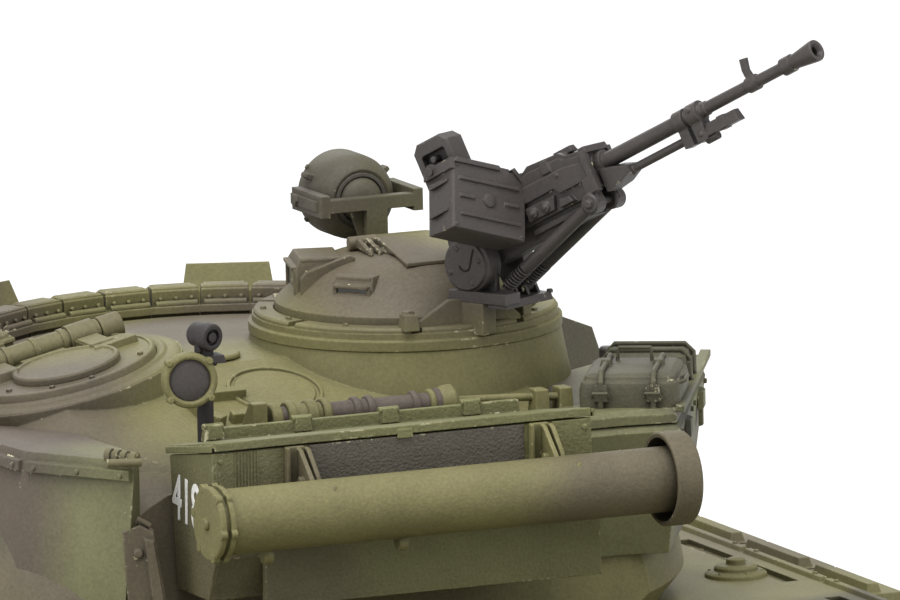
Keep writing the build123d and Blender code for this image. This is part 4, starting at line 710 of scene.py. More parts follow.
first_disc = first_tyre = None
for side, sign in side_signs.items():
    for n in range(1, 7):
        hub = Matrix.Translation(Vector(joints[f"wheel_{side}_{n}_spin"]["pos_m"]))
        facing = hub @ Matrix.Rotation(radians(90 * sign), 4, "Y")
        body = joints[f"wheel_{side}_{n}_spin"]["child"]
        node = f"road_wheel_{side}_{n}"
        if first_disc is None:
            work = bmesh.new()
            wheel_disc(work)
            first_disc = fitted(work, "wheel_pattern", "hull", wheel_paint, soften=0.15)
            work = bmesh.new()
            wheel_tyre(work)
            first_tyre = fitted(work, "tyre_pattern", "hull", rubber, soften=0)
        again(first_disc, f"wheel_disc_{side}_{n}", body, facing, [node])
        again(first_tyre, f"wheel_tyre_{side}_{n}", body, facing, [node])
        arm_body = joints[f"arm_{side}_{n}_swing"]["child"]
        finish_nodes([f"swing_arm_{side}_{n}"], steel_paint)
        work = bmesh.new()
        cap = set_on(hub @ whole, (0, 0, 0), (sign, 0, 0), (0, 1, 0))
        turned(work, [(0, 17.0), (2.2, 17.0), (2.6, 16.7), (4.6, 16.4), (5.1, 15.9), (5.1, 14.2),
                      (0, 14.2)], cap, 32)
        screws(work, bolt_circle(3.7, 16.4, range(0, 360, 60)), 0.6, 0.5, cap)
        fitted(work, f"axle_cap_{side}_{n}", arm_body, wheel_paint, soften=0.1)
for pattern in (first_disc, first_tyre):
    bpy.data.objects.remove(pattern)

# ---- Sprockets, idlers and rollers ----
# The drive sprocket is a drum with two toothed rims and a bolted cover. The idler is a pierced
# twin disc, and three small rollers carry the upper run. All cast and sprayed; the edges are
# rubbed bare and lightened with a painted highlight, and the corners carry painted shade.
finish_nodes([f"idler_{side}" for side in side_signs] + [f"return_roller_{n}" for n in range(1, 4)],
             steel_paint)
for side, sign in side_signs.items():
    hub = Matrix.Translation(Vector(joints[f"sprocket_{side}_spin"]["pos_m"])) @ whole
    axle = set_on(hub, (0, 0, 0), (sign, 0, 0), (0, 1, 0))
    work = bmesh.new()
    turned(work, [(0, 18.2), (4.2, 18.2), (4.8, 17.6), (5.2, 17.2), (8.6, 16.8), (9.0, 16.4), (9.0, 14.0),
                  (10.2, 13.8), (13.6, 14.8), (15.2, 15.8), (18.9, 15.8), (18.9, 13.3), (16.2, 13.2),
                  (14.0, 11.0), (14.0, -11.0), (16.2, -13.2), (18.9, -13.3), (18.9, -15.8), (14.0, -15.8),
                  (14.0, -13.3), (7.0, -13.3), (7.0, -22.6), (4.0, -22.6), (4.0, -35.8), (0, -35.8)], axle,
           70)
    for low, high in ((13.35, 15.75), (-15.75, -13.35)):
        for n in range(14):
            tooth = axle @ Matrix.Rotation(2 * pi * n / 14, 4, "Z")
            cut_plate(work, [(18.2, -2.2), (19.4, -1.7), (20.6, -1.05), (21.0, -0.5), (21.0, 0.5),
                             (20.6, 1.05), (19.4, 1.7), (18.2, 2.2)], low, high, tooth)
    for n in range(10):
        spot = axle @ Matrix.Rotation(radians(36 * n), 4, "Z")
        screws(work, [(12.0, 0, 14.3)], 0.9, 0.8, spot)
        screws(work, [(17.2, 2.0, 15.8)], 0.55, 0.4, spot)
    screws(work, bolt_circle(6.9, 17.0, range(0, 360, 60)), 0.6, 0.5, axle)
    fitted(work, f"sprocket_cover_{side}", joints[f"sprocket_{side}_spin"]["child"], wheel_paint,
           soften=0.12, stands_for=[f"drive_sprocket_{side}"])
    hub = Matrix.Translation(Vector(joints[f"idler_{side}_spin"]["pos_m"])) @ whole
    axle = set_on(hub, (0, 0, 0), (sign, 0, 0), (0, 1, 0))
    work = bmesh.new()
    turned(work, [(15.2, 11.0), (15.4, 12.0), (16.6, 12.2), (17.0, 11.8), (17.0, 11.0), (15.2, 11.0)], axle,
           64)
    turned(work, [(3.1, 11.1), (3.2, 11.9), (6.2, 11.7), (7.4, 11.2), (8.4, 11.0), (3.1, 11.0),
                  (3.1, 11.1)], axle, 48)
    for n in range(6):
        spot = axle @ Matrix.Rotation(radians(60 * n + 30), 4, "Z")
        plate(work, (7.8, -0.7, 10.9), (15.4, 0.7, 11.9), spot, 0.2)
        turned(work, [(2.55, 0.0), (2.65, 0.5), (3.3, 0.3), (3.5, 0.0), (2.55, 0.0)],
               axle @ Matrix.Rotation(radians(60 * n), 4, "Z") @ Matrix.Translation((12, 0, 11.0)), 24)
        screws(work, [(5.2, 0, 11.7)], 0.6, 0.5, spot)
    fitted(work, f"idler_cover_{side}", joints[f"idler_{side}_spin"]["child"], wheel_paint,
           soften=0.1)

# ---- Inside the hull ----
# Battery, circuit board, speaker, motor boxes and screws, sunk in the hull pan and seen only when
# it is opened. Moulded black plastic, a green laminate board and plated steel screws.
moulded_black = sprayed("moulded_black", (0.021, 0.021, 0.023), patches=0.0, chip_share=0.1, grain=0.6)
board_green = sprayed("board_green", (0.012, 0.075, 0.030), patches=0.0, chip_share=0.1, grain=0.3)
plated_steel = sprayed("plated_steel", (0.30, 0.30, 0.29), patches=0.0, chip_share=0.1, grain=0.3)
finish_nodes(("battery_pack", "speaker", "drive_gearboxes", "turret_drive"), moulded_black)
finish_nodes(("control_board",), board_green)
finish_nodes(("hull_screws",), plated_steel)

# ---- Turret casting fittings ----
# On the cast roof: an ejection port between two guard bars, a hooked lever, two round plugs
# and, behind the cupola, a ribbed breathing hose in clips. All but the hose match the shell.
turret_axis = Vector(joints["turret_rotation"]["pos_m"])
on_turret = Matrix.Translation((turret_axis.x, turret_axis.y, 0)) @ whole
work = bmesh.new()
roof_fall = Vector((0, -0.309, 0.951))
roof_top, slope_start, slope_tan = 134.5, -12.0, 0.3249


def roof_z(y):
    """Height of the roof on its sloping back half."""
    return roof_top + (y - slope_start) * slope_tan


def side_view_of(place, x=0.0):
    """A frame for outlines drawn from the side as Y, Z pairs, their thickness along X from x."""
    return place @ Matrix(((0, 0, 1, x), (1, 0, 0, 0), (0, 1, 0, 0), (0, 0, 0, 1)))


port = set_on(on_turret, (-3.2, -26.0, roof_z(-26.0)), roof_fall)
turned(work, [(0, 0.3), (7.3, 0.3), (7.5, -0.1), (8.0, -0.1), (8.1, 0.55), (8.7, 0.5), (8.9, -0.5),
              (0, -0.5)], port, 64)
for x_low, x_high, y_mid in ((-19.5, -9.5, -27.0), (-16.0, -4.5, -35.4)):
    bar = set_on(on_turret, ((x_low + x_high) / 2, y_mid, roof_z(y_mid)), roof_fall)
    half = (x_high - x_low) / 2
    plate(work, (-half, -1.0, -0.6), (half, 1.0, 1.9), bar, 0.15)
lever = set_on(on_turret, (-20.4, -32.0, roof_z(-32.0)), roof_fall)
cut_plate(work, [(-1.4, 5.4), (0.2, 5.4), (1.0, -1.2), (3.4, -4.4), (1.8, -5.4), (-0.9, -2.0)],
          -0.6, 1.9, lever)
turned(work, [(0, 1.0), (1.6, 1.0), (2.0, 0.6), (2.0, -0.4), (0, -0.4)],
       set_on(on_turret, (9.0, -14.0, roof_z(-14.0)), roof_fall), 24)
turned(work, [(0, 0.5), (4.6, 0.5), (5.0, 0.2), (5.0, -0.4), (0, -0.4)],
       set_on(on_turret, (-8.0, -9.0, 134.4), (0, 0, 1)), 36)
fitted(work, "ejection_port", "turret", hull_paint)

hose_y, hose_z = -47.0, 128.9
hose_start, hose_end = -12.6, 19.6
work = bmesh.new()
profile = [(0, hose_start), (1.9, hose_start)]
for spot in (-9.6, -5.2, -2.9, 3.2, 5.9, 14.6):
    profile += [(2.0, spot - 0.8), (2.4, spot - 0.7), (2.6, spot - 0.3), (2.6, spot + 0.3),
                (2.4, spot + 0.7), (2.0, spot + 0.8)]
profile += [(2.05, hose_end - 1.6), (2.7, hose_end - 1.0), (2.7, hose_end), (0, hose_end)]
along_hose = set_on(on_turret, (0, hose_y, hose_z), (1, 0, 0))
turned(work, profile, along_hose, 36)
hose_brown = sprayed("hose_brown", (0.092, 0.074, 0.060), patches=0.3, chip_share=0.35, shift=2.6)
fitted(work, "breathing_hose", "turret", hose_brown, soften=0.12)
work = bmesh.new()
for low, high, ring_r in ((-13.6, -11.4, 2.8), (-10.4, -8.6, 2.95), (-6.6, -4.4, 2.85), (-3.6, -2.0, 2.95),
                          (17.2, 18.4, 2.7)):
    turned(work, [(0, low), (ring_r - 0.3, low), (ring_r, low + 0.4), (ring_r, high - 0.4),
                  (ring_r - 0.3, high), (0, high)], along_hose, 36)
turned(work, [(0, -8.6), (2.25, -8.6), (2.25, -3.6), (0, -3.6)], along_hose, 36)
turned(work, [(0, 18.4), (2.3, 18.4), (3.1, 20.4), (3.2, 21.8), (2.4, 22.6), (0, 22.6)], along_hose, 36)
for x in (-12.4, 4.6, 20.6):
    plate(work, (x - 1.1, hose_y - 2.8, 122.0), (x + 1.1, hose_y + 2.8, hose_z - 0.4), on_turret, 0, 0.3)
turret_side = side_view_of(on_turret)
cut_plate(work, [(-50.0, 123.0), (-43.0, 123.0), (-43.6, 126.8), (-48.0, 132.4), (-50.0, 132.4)],
          -17.6, -14.8, turret_side)
rod(work, [(22.0, -47.4, 129.2), (34, -48.4, 128.8), (43.5, -50.0, 128.4)], 0.75, on_turret, 10)
for x in (38.0, 42.6):
    plate(work, (x - 1.5, -51.4, 124.0), (x + 1.5, -47.4, 130.2), on_turret, 0.3)
fitted(work, "hose_clips", "turret", hull_paint)

# ---- Gunner's hatch ----
# A round cover leaning with the roof, a stout hinge tube with pressed bands, a periscope
# block and an angled bracket. Cover and hinge straps swing together.
hatch_hinge = joints["gunner_cover_hinge"]
hatch_across = -Vector(hatch_hinge["axis"]).normalized()
hatch_up = hatch_across.cross(Vector((0, 1, 0))).normalized()
hatch_middle = Vector(hatch_hinge["pos_m"]) - hatch_up * 0.004 - Vector((0, 0.009, 0))
on_hatch = set_on(Matrix.Translation(hatch_middle) @ whole, (0, 0, 0), hatch_up, hatch_across)
cover_top = 3.1
work = bmesh.new()
turned(work, [(8.7, 1.0), (8.9, 1.35), (9.5, 1.35), (9.8, 1.0), (9.8, 0), (8.7, 0)],
       on_hatch @ Matrix.Translation((0, -6, cover_top)), 56)
turned(work, [(16.5, -0.2), (16.7, 0.25), (17.3, 0.2), (17.6, -0.3), (17.6, -1.8), (16.5, -1.8)],
       on_hatch @ Matrix.Translation((0, -2, cover_top)), 40, (118, 422))
for x in (-9.2, 9.2):
    plate(work, (x - 2.4, -1.6, cover_top - 0.3), (x + 2.4, 6.0, cover_top + 1.6), on_hatch, 0.4)
    rod(work, [(x - 2.6, 9.0, 4.0), (x + 2.6, 9.0, 4.0)], 2.75, on_hatch, 24)
for x in (-5.6, 0.0, 5.6):
    rod(work, [(x - 0.5, 9.0, 4.0), (x + 0.5, 9.0, 4.0)], 2.55, on_hatch, 24)
plate(work, (-4.6, 2.6, cover_top - 0.3), (4.6, 5.6, cover_top + 1.0), on_hatch, 0.3)
cut_plate(work, [(6.8, -3.4), (15.6, -3.0), (15.2, 0.4), (9.6, 2.6), (7.8, 1.8), (12.6, -0.8), (7.4, -1.6)],
          cover_top - 0.3, cover_top + 1.3, on_hatch, 0.2)
screws(work, [(x, y, cover_top) for x, y in
              ((-12.6, -8.6), (-14.6, -1.0), (12.0, -12.0), (0, -17.6), (-7.0, -15.6))], 0.6, 0.5, on_hatch)
fitted(work, "gunner_cover_straps", "gunner_cover", hull_paint)
work = bmesh.new()
turned(work, [(18.4, -0.6), (18.4, 1.0), (19.0, 1.4), (19.8, 1.4), (20.4, 0.9), (21.9, 0.8), (22.6, 0.4),
              (22.9, -0.4), (22.9, -1.4), (18.4, -1.4)], on_hatch @ Matrix.Translation((0, 0, 0.6)),
       48, (128, 412))
for x in (-15.0, 15.0):
    rod(work, [(x - 2.1, 9.0, 4.0), (x + 2.1, 9.0, 4.0)], 2.5, on_hatch, 24)
    plate(work, (x - 2.1, 9.4, -2.0), (x + 2.1, 12.8, 4.6), on_hatch, 0.2)
    screws(work, [(0, 0, 2.1)], 1.2, 0.4, set_on(on_hatch, (x, 9.0, 4.0), (1 if x > 0 else -1, 0, 0)))
sight = set_on(on_hatch, (-9.0, 17.0, 4.4), (0, 0, 1))
sight_plan = ((-7, -3.6), (-6.2, -4.2), (6.2, -4.2), (7, -3.6), (7, 3.6), (6.2, 4.2),
              (-6.2, 4.2), (-7, 3.6))
rings(work, [[sight @ Vector((x * shrink, y * shrink, z)) for x, y in sight_plan]
             for z, shrink in ((-6.4, 1.05), (1.9, 1.0), (3.2, 0.94), (3.7, 0.8))])
plate(work, (-5.2, -4.9, -1.4), (5.2, -3.9, 2.0), sight, 0.2)
plate(work, (-7.4, -4.6, 1.6), (7.4, -3.4, 2.4), sight, 0.1)
for x in (9.6, 13.6):
    plate(work, (x - 0.9, 14.2, -3.0), (x + 0.9, 20.6, 4.0), on_hatch, 0.3, 1.4)
rod(work, [(8.0, 17.6, 2.6), (15.2, 17.6, 2.6)], 1.3, on_hatch, 16)
fitted(work, "gunner_hatch_ring", "turret", hull_paint)

# ---- Sensor mast ----
# A slim dark mast with a clamp, a small round sensor at its head and a marker lamp whose
# green rim has four ears round a dark lens.
mast_x, mast_y = -27.2, -51.0
mast_paint = sprayed("mast_dark", (0.034, 0.029, 0.029), patches=0.15, chip_share=0.2, grain=0.5)
work = bmesh.new()
rod(work, [(mast_x, mast_y, z) for z in (122, 140.4, 140.5, 141.2, 141.3, 142.4)],
    [1.5, 1.5, 2.3, 2.3, 1.6, 1.6], on_turret, 24)
plate(work, (mast_x - 2.5, mast_y - 2.6, 141.0), (mast_x + 3.2, mast_y + 1.8, 142.4), on_turret, 0.3)
rod(work, [(mast_x, mast_y, 142.0), (mast_x, mast_y, 144.4)], 1.7, on_turret, 20)
head = set_on(on_turret, (mast_x, mast_y, 145.8), (0.30, -0.94, -0.05))
turned(work, [(0, -2.6), (1.8, -2.6), (2.2, -2.0), (2.2, 0.6), (2.45, 0.7), (2.45, 2.3), (2.2, 2.6),
              (1.5, 2.6), (1.35, 1.9), (0, 1.9)], head, 32)
turned(work, [(0, 2.6), (0.85, 2.6), (0.95, 2.3), (0.95, 1.8), (0, 1.8)], head, 24)
screws(work, [(0, 0, 0)], 0.5, 0.3, set_on(on_turret, (mast_x - 1.5, mast_y - 1.2, 143.4), (-0.6, -0.8, 0)))
plate(work, (mast_x - 4.2, mast_y - 1.6, 136.6), (mast_x + 0.4, mast_y + 0.6, 138.6), on_turret, 0.1)
fitted(work, "mast_post", "turret", mast_paint, stands_for=["sensor_mast"])
lamp_disc = set_on(on_turret, (mast_x - 3.9, mast_y - 2.2, 138.5), (-0.22, -0.97, 0.06))
work = bmesh.new()
turned(work, [(0, -1.9), (4.2, -1.9), (4.9, -1.2), (5.0, 0.9), (4.8, 1.5), (4.2, 1.7), (3.75, 1.4),
              (3.7, 0.6), (0, 0.6)], lamp_disc, 48)
for heading in (42, 138, 222, 318):
    angle = radians(heading)
    rod(work, [(4.9 * cos(angle), 4.9 * sin(angle), -1.0), (4.9 * cos(angle), 4.9 * sin(angle), 1.9)],
        0.62, lamp_disc, 12)
fitted(work, "marker_lamp_rim", "turret", hull_paint)
work = bmesh.new()
turned(work, [(0, 1.35), (1.6, 1.3), (2.9, 1.1), (3.72, 0.8), (3.72, 0.3), (0, 0.3)], lamp_disc, 48)
fitted(work, "marker_lamp_lens", "turret", gun_paint, soften=0)

# ---- Armour boxes ----
# A curved row of sloped explosive boxes over the front of the roof, hinged on a bolted strip,
# and bigger wedges that stand out from both cheeks of the casting, one bolt row on each.
work = bmesh.new()
row_radius, roof_edge = 50.0, 134.5
for n in range(-4, 5):
    bearing = radians(10 + n * 11.0)
    outward = Vector((sin(bearing), cos(bearing), 0))
    block_place = set_on(on_turret, outward * row_radius + Vector((0, 0, roof_edge - 8.0)), (0, 0, 1),
                         (outward.y, -outward.x, 0))
    rings(work, [[block_place @ Vector(point) for point in row] for row in (
        ((-4.45, -2.8, 0), (4.45, -2.8, 0), (4.5, 2.4, 0), (-4.5, 2.4, 0)),
        ((-4.45, -2.8, 6.6), (4.45, -2.8, 6.6), (4.5, 2.4, 4.4), (-4.5, 2.4, 4.4)),
        ((-4.3, -2.2, 10.5), (4.3, -2.2, 10.5), (4.3, 0.9, 10.5), (-4.3, 0.9, 10.5)))])
    plate(work, (-4.5, -4.4, 6.0), (4.5, -2.6, 7.4), block_place, 0.1)
    rod(work, [(-3.9, -3.4, 7.7), (3.9, -3.4, 7.7)], 0.65, block_place, 10)
    for x in (-2.9, 0.0, 2.9):
        screws(work, [(x, 0, 0)], 0.42, 0.4, set_on(block_place, (0, -2.8, 8.6), (0, -1, 0.3)))
fitted(work, "roof_armour_row", "turret", hull_paint, soften=0.22)
work = bmesh.new()
for sign in (-1, 1):
    for turn_out in (22.0, 42.0, 62.0):
        bearing = sign * radians(turn_out)
        outward = Vector((sin(bearing), cos(bearing), 0))
        foot = set_on(on_turret, outward * 74.0 + Vector((0, 0, 90.0)), (0, 0, 1),
                      (outward.y, -outward.x, 0))
        slope_face = set_on(foot, (0, 18.4, 20.0), (0, 31.0, 12.0), (1, 0, 0))
        for x in (-6.4, 0.0, 6.4):
            screws(work, [(x, 0, 0.0)], 0.8, 0.6, set_on(foot, (0, 22.5, 9.0), (0, 31, 12), (1, 0, 0)))
            screws(work, [(x * 0.8, 0, 0.0)], 0.7, 0.5,
                   set_on(foot, (0, 13.6, 31.9), (0, 31, 12), (1, 0, 0)))
        plate(work, (-9.2, -9.0, -0.3), (-0.5, 9.0, 0.7), slope_face, 0.7)
        plate(work, (0.5, -9.0, -0.3), (9.2, 9.0, 0.7), slope_face, 0.7)
        plate(work, (-8.6, -6.5, -1.2), (8.6, 6.5, 5.2),
              set_on(foot, (0, -4.6, 41.9), (0, 4, 16), (1, 0, 0)), 1.0)
fitted(work, "cheek_armour_plates", "turret", hull_paint, soften=0.2)

# ---- Rear bin ----
# A sheet-metal stowage box hung on the back of the casting: a thin lid on four knuckles,
# a pebbled rear face with a dark panel, a folded lower plate and a stencilled number.
rear = -76.0
left_face, right_face = -36.5, 36.5
bin_paint = sprayed("bin_pebbled", (0.158, 0.156, 0.068), patches=0.55, chip_share=0.75, grain=0.9)
finish_nodes(("rear_bin", "rear_bin_lid"), bin_paint)
bin_panel = sprayed("bin_panel_brown", (0.094, 0.084, 0.066), patches=0.35, chip_share=0.8,
                    grain=1.3, shift=3.3)
work = bmesh.new()
walls = [(rear, 110.0), (rear, 129.2), (-56.2, 126.0), (-58.4, 102.2), (rear + 3.4, 102.2)]
for x in (left_face, right_face - 1.4):
    cut_plate(work, walls, x, x + 1.4, turret_side)
plate(work, (left_face + 0.6, rear + 0.02, 110.0), (right_face - 0.6, rear + 1.5, 129.1), on_turret)
cut_plate(work, [(rear, 110.2), (rear + 3.4, 102.0), (rear + 4.6, 102.6), (rear + 1.4, 110.4)],
          left_face + 0.6, right_face - 0.6, turret_side)
plate(work, (left_face + 0.6, -73.0, 102.3), (right_face - 0.6, -58.6, 103.6), on_turret)
cut_plate(work, [(-58.5, 102.4), (-56.3, 125.8), (-57.7, 125.8), (-59.9, 102.4)], left_face + 0.6,
          right_face - 0.6, turret_side)
fitted(work, "rear_bin_shell", "turret", bin_paint, soften=0.3, stands_for=["rear_bin"])
work = bmesh.new()
plate(work, (-27.4, rear - 1.1, 101.0), (37.4, rear + 0.4, 113.6), on_turret, 0.2)
cut_plate(work, [(rear - 1.1, 113.6), (rear + 0.2, 114.4), (rear + 0.2, 112.6)], -27.4, 37.4, turret_side)
for n in range(8):
    plate(work, (-32.4 + 0.62 * n, rear - 0.22, 113.0), (-32.1 + 0.62 * n, rear + 0.2, 129.0),
          on_turret, 0.05)
plate(work, (28.6, rear - 0.35, 113.0), (36.4, rear + 0.2, 129.1), on_turret, 0.1)
screws(work, [(-35.0, 127.6, 0.1), (-21.6, 127.8, 0.1), (35.0, 127.6, 0.3)], 0.5, 0.35,
       set_on(on_turret, (0, rear, 0), (0, -1, 0)))
fitted(work, "bin_rear_trims", "turret", bin_paint, soften=0.2)
work = bmesh.new()
plate(work, (-18.2, rear - 0.3, 112.0), (23.4, rear + 0.3, 129.1), on_turret, 0.1)
fitted(work, "bin_dark_panel", "turret", bin_panel, soften=0.1)
# The lid falls towards the front, where a rail of knuckles carries it just above the bin.
lid_rear_z, lid_front_z, lid_front = 131.0, 127.6, -55.6
work = bmesh.new()
cut_plate(work, [(rear - 0.4, lid_rear_z - 1.5), (rear - 0.4, lid_rear_z), (lid_front, lid_front_z),
                 (lid_front, lid_front_z - 1.2), (rear - 0.1, lid_rear_z - 1.3),
                 (rear - 0.1, lid_rear_z - 1.5)], -36.2, 36.2, turret_side)
for x in (-37.0, 36.6):
    cut_plate(work, [(rear - 0.3, lid_rear_z - 1.6), (rear - 0.3, lid_rear_z - 0.3),
                     (lid_front, lid_front_z - 0.2), (lid_front, lid_front_z - 1.4)], x,
              x + 0.4, turret_side)
    cut_plate(work, [(rear - 0.3, lid_rear_z - 0.9), (rear - 0.3, lid_rear_z - 0.3),
                     (lid_front, lid_front_z - 0.2), (lid_front, lid_front_z - 0.8)],
              x - 0.3 if x > 0 else x + 0.2, x + 0.2 if x > 0 else x + 0.9, turret_side)
plate(work, (-1.2, rear - 0.7, lid_rear_z - 2.2), (1.8, rear - 0.1, lid_rear_z - 0.6), on_turret, 0.15)
rail_y, rail_z = -54.6, 129.3
plate(work, (-29.6, rail_y - 1.4, rail_z - 1.7), (31.4, rail_y + 0.2, rail_z + 0.5), on_turret, 0.2)
for x in (-27.6, -10.6, 6.2, 22.0):
    plate(work, (x - 1.7, rail_y - 1.9, rail_z - 1.4), (x + 1.7, rail_y + 0.4, rail_z + 1.2),
          on_turret, 0.35)
    rod(work, [(x - 1.9, rail_y - 0.6, rail_z + 0.7), (x + 1.9, rail_y - 0.6, rail_z + 0.7)], 0.7,
        on_turret, 12)
fitted(work, "bin_lid_shell", "bin_lid", bin_paint, soften=0.16, stands_for=["rear_bin_lid"])
work = bmesh.new()
stencil_white = sprayed("stencil_white", (0.80, 0.80, 0.76), patches=0.0, chip_share=0.1, grain=0.1)
digits = bpy.data.objects.new("number_outline", bpy.data.curves.new("number_outline", "FONT"))
digits.data.body = "418"
digits.data.size = 0.0113
digits.data.offset = 0.00022
digits.data.extrude = 0.00004
digits.data.resolution_u = 4
digits_mesh = bpy.data.meshes.new_from_object(digits)
bpy.data.objects.remove(digits)
number_place = Matrix(((0, 0, -1, -36.6), (-0.74, -0.04, 0, -57.4), (-0.05, 1.0, 0, 115.3), (0, 0, 0, 1)))
number_shift = on_turret @ number_place @ Matrix.Scale(1000, 4)
digits_mesh.transform(number_shift)
digits_mesh.materials.append(stencil_white)
number = bpy.data.objects.new("bin_number", digits_mesh)
bpy.context.scene.collection.objects.link(number)
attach(number, "turret")

# ---- Snorkel tube ----
# A rolled tube strapped across the back of the bin, with a flanged cap at its left end and a
# deep open collar at the right one, held by two folded brackets and strap bolts below.
snorkel_y, snorkel_z, snorkel_r = -85.0, 118.5, 6.0
on_snorkel = set_on(on_turret, (0, snorkel_y, snorkel_z), (1, 0, 0))
work = bmesh.new()
tube_r = 5.85
turned(work, [(0, -41.6), (6.3, -41.6), (6.6, -41.3), (6.6, -40.5), (5.9, -40.3), (5.9, -39.8),
              (6.6, -39.6), (6.6, -38.7), (tube_r, -38.4), (tube_r, 49.0), (0, 49.0)], on_snorkel, 72)
turned(work, [(7.5, 45.6), (8.1, 45.5), (8.4, 45.8), (8.4, 50.0), (8.1, 50.4), (0.1, 50.4), (0.1, 49.4),
              (7.5, 49.4), (7.5, 45.6)], on_snorkel, 72)
for heading in range(10, 370, 60):
    angle = radians(heading)
    for low, high in ((-41.7, -40.5), (-39.7, -38.6)):
        rod(work, [(6.3 * cos(angle), 6.3 * sin(angle), low), (6.3 * cos(angle), 6.3 * sin(angle), high)],
            0.85, on_snorkel, 14)
turned(work, [(0, 0.7), (0.9, 0.7), (1.2, 0.3), (1.2, -0.2), (0, -0.2)],
       set_on(on_snorkel, (0, 0, -41.6), (0, 0, -1)), 20)
for x in (-30.6, -4.8):
    ear = set_on(on_turret, (x, snorkel_y - 0.6, snorkel_z - snorkel_r - 0.6), (1, 0, 0), (0, 1, 0))
    turned(work, [(0, 0.9), (1.3, 0.9), (1.5, 0.6), (1.5, -0.6), (1.3, -0.9), (0, -0.9)], ear, 18)
    screws(work, [(0, 0, 0.9)], 0.7, 0.4, ear)
tube_paint = sprayed("snorkel_olive", olive, patches=0.75, chip_share=0.25, grain=0.55, shift=6.1)
fitted(work, "snorkel_body", "turret", tube_paint, stands_for=["snorkel_tube"])
work = bmesh.new()
for x in (-21.0, 26.0):
    plate(work, (x - 1.9, rear - 1.0, 111.0), (x + 1.9, rear + 0.1, 129.2), on_turret, 0.1)
    plate(work, (x - 2.1, rear - 2.0, 111.0), (x - 1.2, rear - 0.6, 129.2), on_turret, 0.1)
    for side, foot in ((0.2, (rear - 8.6, 121.6)), (1.7, (rear - 6.0, 123.4))):
        web = side_view_of(on_turret, x + side)
        cut_plate(work, [(rear - 0.6, 129.0), (rear - 2.0, 128.6), (foot[0], foot[1] + 1.0),
                         (foot[0] - 0.8, foot[1] - 2.6), (rear - 4.6, 119.6), (rear - 0.6, 124.2)], 0, 0.9,
                  web)
    rod(work, [(x - 0.6, rear - 3.6, 123.4), (x + 3.2, rear - 3.6, 123.4)], 0.85, on_turret, 14)
    rod(work, [(x - 1.0, snorkel_y + 2.6, 120.0), (x + 2.8, snorkel_y - 3.6, 123.0)], 0.7, on_turret, 12)
fitted(work, "snorkel_strap_brackets", "turret", hull_paint, stands_for=["snorkel_brackets"])

# ---- Side bins ----
# Two boxes round the shoulders of the casting. The left one is folded from three flat sheets
# and reaches down past the seam; the right one carries a strapped case with wire bails.
bin_olive = sprayed("side_bin_olive", (0.148, 0.146, 0.070), patches=1.0, chip_share=0.55, shift=7.3)


def walled(work, top_plan, low_plan, high, low, bevel, place=on_turret):
    """A closed box between a plan at its top and a plan at its foot, bevelled round the top."""
    middle = sum((Vector(point) for point in top_plan), Vector((0, 0))) / len(top_plan)
    inner = [Vector(point) + (middle - Vector(point)).normalized() * bevel for point in top_plan]
    rings(work, [[place @ Vector((x, y, low)) for x, y in low_plan],
                 [place @ Vector((x, y, high - bevel)) for x, y in top_plan],
                 [place @ Vector((x, y, high)) for x, y in inner]])


work = bmesh.new()
left_top = [(-47.0, -65.5), (-60.0, -46.0), (-64.0, -8.0), (-50.0, -6.0), (-44.0, -30.0), (-43.0, -58.0)]
left_low = [(-49.5, -63.5), (-62.5, -44.0), (-66.5, -8.0), (-50.0, -6.0), (-44.0, -30.0), (-43.0, -57.0)]
walled(work, left_top, left_low, 127.0, 92.0, 1.0)
for (x_a, y_a), (x_b, y_b) in zip(left_top[:2], left_top[1:3]):
    out = Vector((y_b - y_a, -(x_b - x_a), 0)).normalized()
    out = out if out.x < 0 else -out
    mid = Vector(((x_a + x_b) / 2, (y_a + y_b) / 2, 124.4))
    strip = set_on(on_turret, mid + out * 0.1, out, (0, 0, 1))
    half = Vector((x_b - x_a, y_b - y_a)).length / 2
    plate(work, (-0.9, -half + 0.5, -0.4), (1.3, half - 0.5, 0.9), strip, 0.2)
    screws(work, [(0.1, v, 0.9) for v in (-half + 2.5, 0, half - 2.5)], 0.5, 0.35, strip)
fitted(work, "left_side_bin", "turret", bin_olive, soften=0.25, stands_for=["side_bins"])

work = bmesh.new()
brace_start, brace_end = Vector((-50.4, -61.0, 128.0)), Vector((-46.8, -66.4, 127.6))
rod(work, [brace_start, brace_end], 0.9, on_turret, 14)
for share in (0.1, 0.35, 0.6, 0.9):
    spot = brace_start.lerp(brace_end, share)
    rod(work, [spot - Vector((0.35, -0.5, 0)), spot + Vector((0.35, -0.5, 0))], 1.3, on_turret, 14)
rod(work, [(-52.6, -66.0, 127.4), (-46.4, -67.2, 127.2)], 0.75, on_turret, 12)
brace = set_on(on_turret, (-45.6, -65.4, 106.0), (-0.35, -0.93, 0.05), (1, 0, 0))
cut_plate(work, [(-3.0, -10.5), (3.4, -9.0), (4.2, -6.5), (2.0, 8.4), (-0.4, 9.8), (-3.6, 8.8)], -2.6,
          0.6, brace, 0.25)
cut_plate(work, [(1.6, -7.6), (3.6, -7.0), (1.9, 6.8), (0.2, 7.4)], 0.4, 1.5, brace, 0.1)
screws(work, [(-0.9, 4.6, 0.6), (0.2, -5.2, 0.6)], 0.9, 0.7, brace, 8)
rod(work, [(-1.6, 9.0, -1.2), (-0.6, 10.6, -0.4), (1.4, 9.2, -0.6)], 0.6, brace, 8)
fitted(work, "left_bin_brace", "turret", hull_paint)

